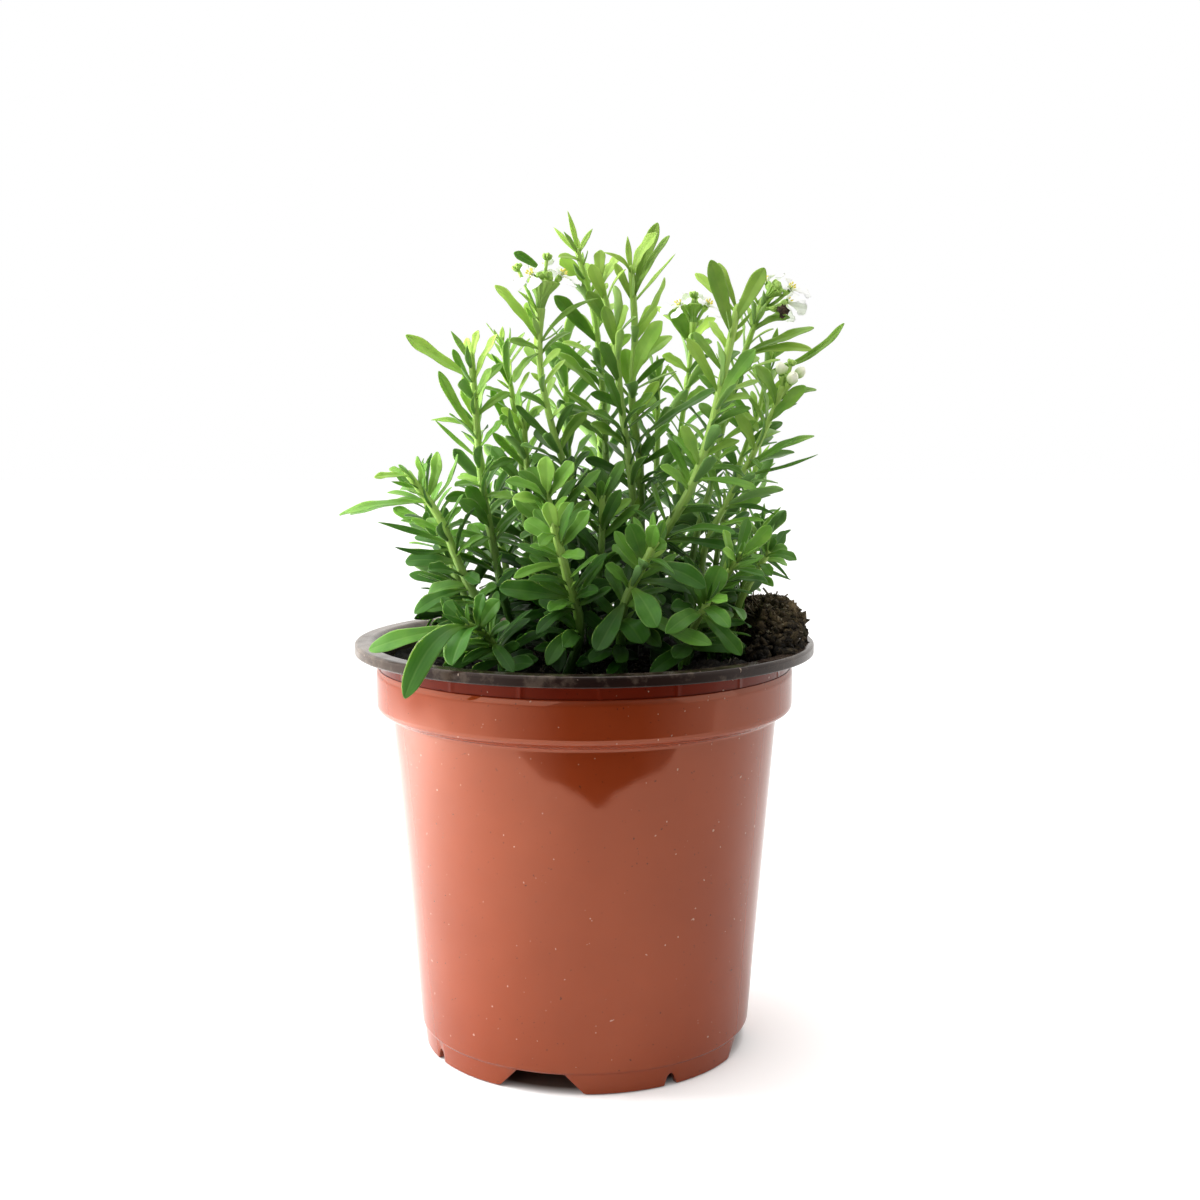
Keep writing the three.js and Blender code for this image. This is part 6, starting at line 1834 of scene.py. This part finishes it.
class CANDYTUFT_PG_pot(bpy.types.PropertyGroup):
    sides: whole("Sides", "Steps round the pot", 360, min=60)
    rib_turn: number("Rib place", "Turn of the first rib in the band, in degrees", 4.4)
    wobble: number("Wobble", "How far the wall leaves a true circle, in thousandths", 0.8)
    terracotta: colour("Terracotta", "Outside of the pot", (0.2, 0.028, 0.006))
    terracotta_light: colour("Light terracotta", "Paler clouds on the outside",
                             (0.24, 0.038, 0.01))
    # Painted shade: far darker than the terracotta, for the flange's shade on the band
    band: colour("Band", "Recessed band under the rim", (0.1, 0.008, 0.004))
    inner: colour("Inside", "Dark inner layer and rim", (0.012, 0.006, 0.005))
    inner_worn: colour("Worn rim", "Worn places on the rim", (0.02, 0.009, 0.007))
    # Also laid on the rim's sides as a painted highlight
    dust: colour("Dust", "Dust on the rim", (0.16, 0.12, 0.09))
    sheen: colour("Sheen", "Tint of the outside's reflections", (0.62, 0.31, 0.22))
    rim_sheen: colour("Rim sheen", "Tint of the dark layer's reflections", (0.12, 0.11, 0.1))
    band_sheen: colour("Band sheen", "Tint of the band's reflections", (0.2, 0.07, 0.05))


class CANDYTUFT_PG_soil(bpy.types.PropertyGroup):
    seed: whole("Seed", "Start of the crumbs' draws", 11)
    crumbs: whole("Crumbs", "Loose crumbs on the soil", 640)
    spilled: whole("Spilled crumbs", "Crumbs on the lip", 820)
    fibres: whole("Fibres", "Loose fibres on the soil", 420)
    dark: colour("Dark peat", "Wet peat in the hollows", (0.003, 0.0025, 0.0016))
    middle: colour("Peat", "Most of the surface", (0.027, 0.02, 0.012))
    light: colour("Light peat", "Dry grains and fibres", (0.17, 0.125, 0.065))
    pale: colour("Pale crumb", "Pale crumbs and roots", (0.5, 0.44, 0.32))
    moss: colour("Moss", "Green film on the peat", (0.012, 0.026, 0.004))


class CANDYTUFT_PG_foliage(bpy.types.PropertyGroup):
    seed: whole("Seed", "Start of the young leaves' draws", 7)
    fullness: number("Fullness", "How many young leaves are tried on each stem", 1.0, min=0,
                     soft_max=2)
    young_leaf: colour("Young leaf", "Leaves at the tips", (0.43, 0.65, 0.115))
    leaf: colour("Leaf", "Grown leaves", (0.17, 0.38, 0.05))
    old_leaf: colour("Old leaf", "Leaves low on the stems", (0.058, 0.19, 0.022))
    leaf_under: colour("Leaf underside", "Pale bloom under the leaves", (0.27, 0.43, 0.19))
    vein: colour("Veins", "Midribs, lines and edges", (0.34, 0.54, 0.14))
    stem: colour("Stem", "Stems and stalks", (0.27, 0.46, 0.075))
    stem_foot: colour("Stem foot", "Woody foot of the stems", (0.16, 0.17, 0.05))


class CANDYTUFT_PG_flower(bpy.types.PropertyGroup):
    petal: colour("Petal", "Open petals", (0.97, 0.97, 0.96))
    petal_foot: colour("Petal foot", "Where petals narrow", (0.62, 0.72, 0.4))
    bud_tip: colour("Bud tip", "Tips of the closed buds", (0.92, 0.93, 0.74))
    anther_low: colour("Anther", "Yellow of the anthers", (0.78, 0.66, 0.05))
    anther_high: colour("Pollen", "Paler pollen", (0.95, 0.86, 0.25))
    filament_low: colour("Filament", "Threads and pistil", (0.35, 0.5, 0.12))
    filament_high: colour("Pale filament", "Paler threads", (0.62, 0.72, 0.35))
    withered_low: colour("Withered", "Dark folds of the dried flower", (0.01, 0.007, 0.005))
    withered_high: colour("Withered edge", "Dry edges", (0.11, 0.065, 0.035))


class CANDYTUFT_PG_stage(bpy.types.PropertyGroup):
    lens: number("Lens", "Focal length in millimetres", 49.1)
    camera_x: length("Camera aside", "Sideways place of the camera", 0.00442)
    camera_distance: length("Camera distance", "Distance in front of the pot", 0.462)
    camera_height: length("Camera height", "Height over the table", 0.1856)
    camera_pitch: FloatProperty(name="Camera tilt", description="Tilt down from level",
                                default=math.radians(7.24), subtype="ANGLE", unit="ROTATION")
    table_front: length("Table edge", "Where the table ends in front of the pot", 0.252)
    table_glow: number("Table glow", "How far the shadow on the table is lifted", 0.12)
    dark_side: number("Dark side", "Least light, low in front of the pot", 0.02)
    room_light: number("Room light", "Strength of the light from all sides", 0.5)
    from_behind: number("Light from behind", "How much brighter the room is behind", 0.55)
    from_left: number("Light from the left", "How much darker the room is at the right", -0.5)
    from_sides: number("Light from the sides", "How much brighter both sides are", 1.0)
    from_above: number("Light from above", "How much brighter the room is above", 0.45)
    left_light: power("Left light", "Power of the left window", 2.5)
    low_light: power("Low left light", "Power of the low left window", 3.3)
    right_light: power("Right light", "Power of the right window", 0.8)
    top_light: power("Top light", "Power of the top window", 5.5)


class CANDYTUFT_OT_pot(bpy.types.Operator):
    """Build the pot's shell"""

    bl_idname = "candytuft.pot"
    bl_label = "Build the pot"

    def execute(self, context):
        settings = context.scene.candytuft_pot
        build_pot(settings, [pot_material(settings)])
        return {"FINISHED"}


class CANDYTUFT_OT_soil(bpy.types.Operator):
    """Build the peat with its crumbs and fibres"""

    bl_idname = "candytuft.soil"
    bl_label = "Build the soil"

    def execute(self, context):
        settings = context.scene.candytuft_soil
        build_soil(settings, [peat_material(settings)])
        return {"FINISHED"}


class CANDYTUFT_OT_foliage(bpy.types.Operator):
    """Build every leafy stem with its leaves, stalks and green buds"""

    bl_idname = "candytuft.foliage"
    bl_label = "Build the leafy stems"

    def execute(self, context):
        settings = context.scene.candytuft_foliage
        plan = plan_plant(settings)
        materials = [leaf_material(settings), stem_material(settings)]
        for i in range(len(STEMS)):
            build_stem(i, plan, materials)
        return {"FINISHED"}


class CANDYTUFT_OT_flowers(bpy.types.Operator):
    """Build the open flowers with their stamens, the white buds and the withered flower"""

    bl_idname = "candytuft.flowers"
    bl_label = "Build the flowers"

    def execute(self, context):
        looks = context.scene.candytuft_flower
        foliage = context.scene.candytuft_foliage
        plan = plan_plant(foliage)
        petal = petal_material(looks)
        yellow = speckled_material("Anther", looks.anther_low, looks.anther_high,
                                   (0.6, 0.85), 1800.0, 0.0002)
        thread = speckled_material("Filament", looks.filament_low, looks.filament_high,
                                   (0.45, 0.65), 700.0, 0.0002)
        for row in FLOWERS:
            build_flower(row, plan, petal, yellow, thread)
        bud = bud_material(looks, foliage)
        dry = speckled_material("Withered flower", looks.withered_low, looks.withered_high,
                                (0.7, 0.95), 520.0, 0.0006)
        for row in BUDS:
            if row.name == "withered_flower":
                build_withered_flower(row, plan, dry)
            elif row.name:
                build_white_bud(row, plan, bud)
        return {"FINISHED"}


class CANDYTUFT_OT_stage(bpy.types.Operator):
    """Build the table, the lights and the camera"""

    bl_idname = "candytuft.stage"
    bl_label = "Build the stage"

    def execute(self, context):
        build_stage(context.scene.candytuft_stage)
        return {"FINISHED"}


class CANDYTUFT_PT_panel(bpy.types.Panel):
    """Settings and steps of the potted candytuft"""

    bl_idname = "CANDYTUFT_PT_panel"
    bl_label = "Potted candytuft"
    bl_space_type = "VIEW_3D"
    bl_region_type = "UI"
    bl_category = "Candytuft"

    def draw(self, context):
        for label, group, operator in STEPS:
            box = self.layout.box()
            box.label(text=label)
            settings = getattr(context.scene, group)
            for key in settings.bl_rna.properties.keys():
                if key not in ("rna_type", "name"):
                    box.prop(settings, key)
            box.operator(operator)


STEPS = [
    ("Pot", "candytuft_pot", "candytuft.pot"),
    ("Soil", "candytuft_soil", "candytuft.soil"),
    ("Leafy stems", "candytuft_foliage", "candytuft.foliage"),
    ("Flowers", "candytuft_flower", "candytuft.flowers"),
    ("Stage", "candytuft_stage", "candytuft.stage"),
]
GROUPS = {
    "candytuft_pot": CANDYTUFT_PG_pot,
    "candytuft_soil": CANDYTUFT_PG_soil,
    "candytuft_foliage": CANDYTUFT_PG_foliage,
    "candytuft_flower": CANDYTUFT_PG_flower,
    "candytuft_stage": CANDYTUFT_PG_stage,
}
CLASSES = [*GROUPS.values(), CANDYTUFT_OT_pot, CANDYTUFT_OT_soil, CANDYTUFT_OT_foliage,
           CANDYTUFT_OT_flowers, CANDYTUFT_OT_stage, CANDYTUFT_PT_panel]


def register():
    for each in CLASSES:
        bpy.utils.register_class(each)
    for key, group in GROUPS.items():
        setattr(bpy.types.Scene, key, PointerProperty(type=group))


def unregister():
    for key in GROUPS:
        delattr(bpy.types.Scene, key)
    for each in reversed(CLASSES):
        bpy.utils.unregister_class(each)


def main():
    register()
    bpy.ops.candytuft.pot()
    bpy.ops.candytuft.soil()
    bpy.ops.candytuft.foliage()
    bpy.ops.candytuft.flowers()
    bpy.ops.candytuft.stage()


if __name__ == "__main__":
    main()
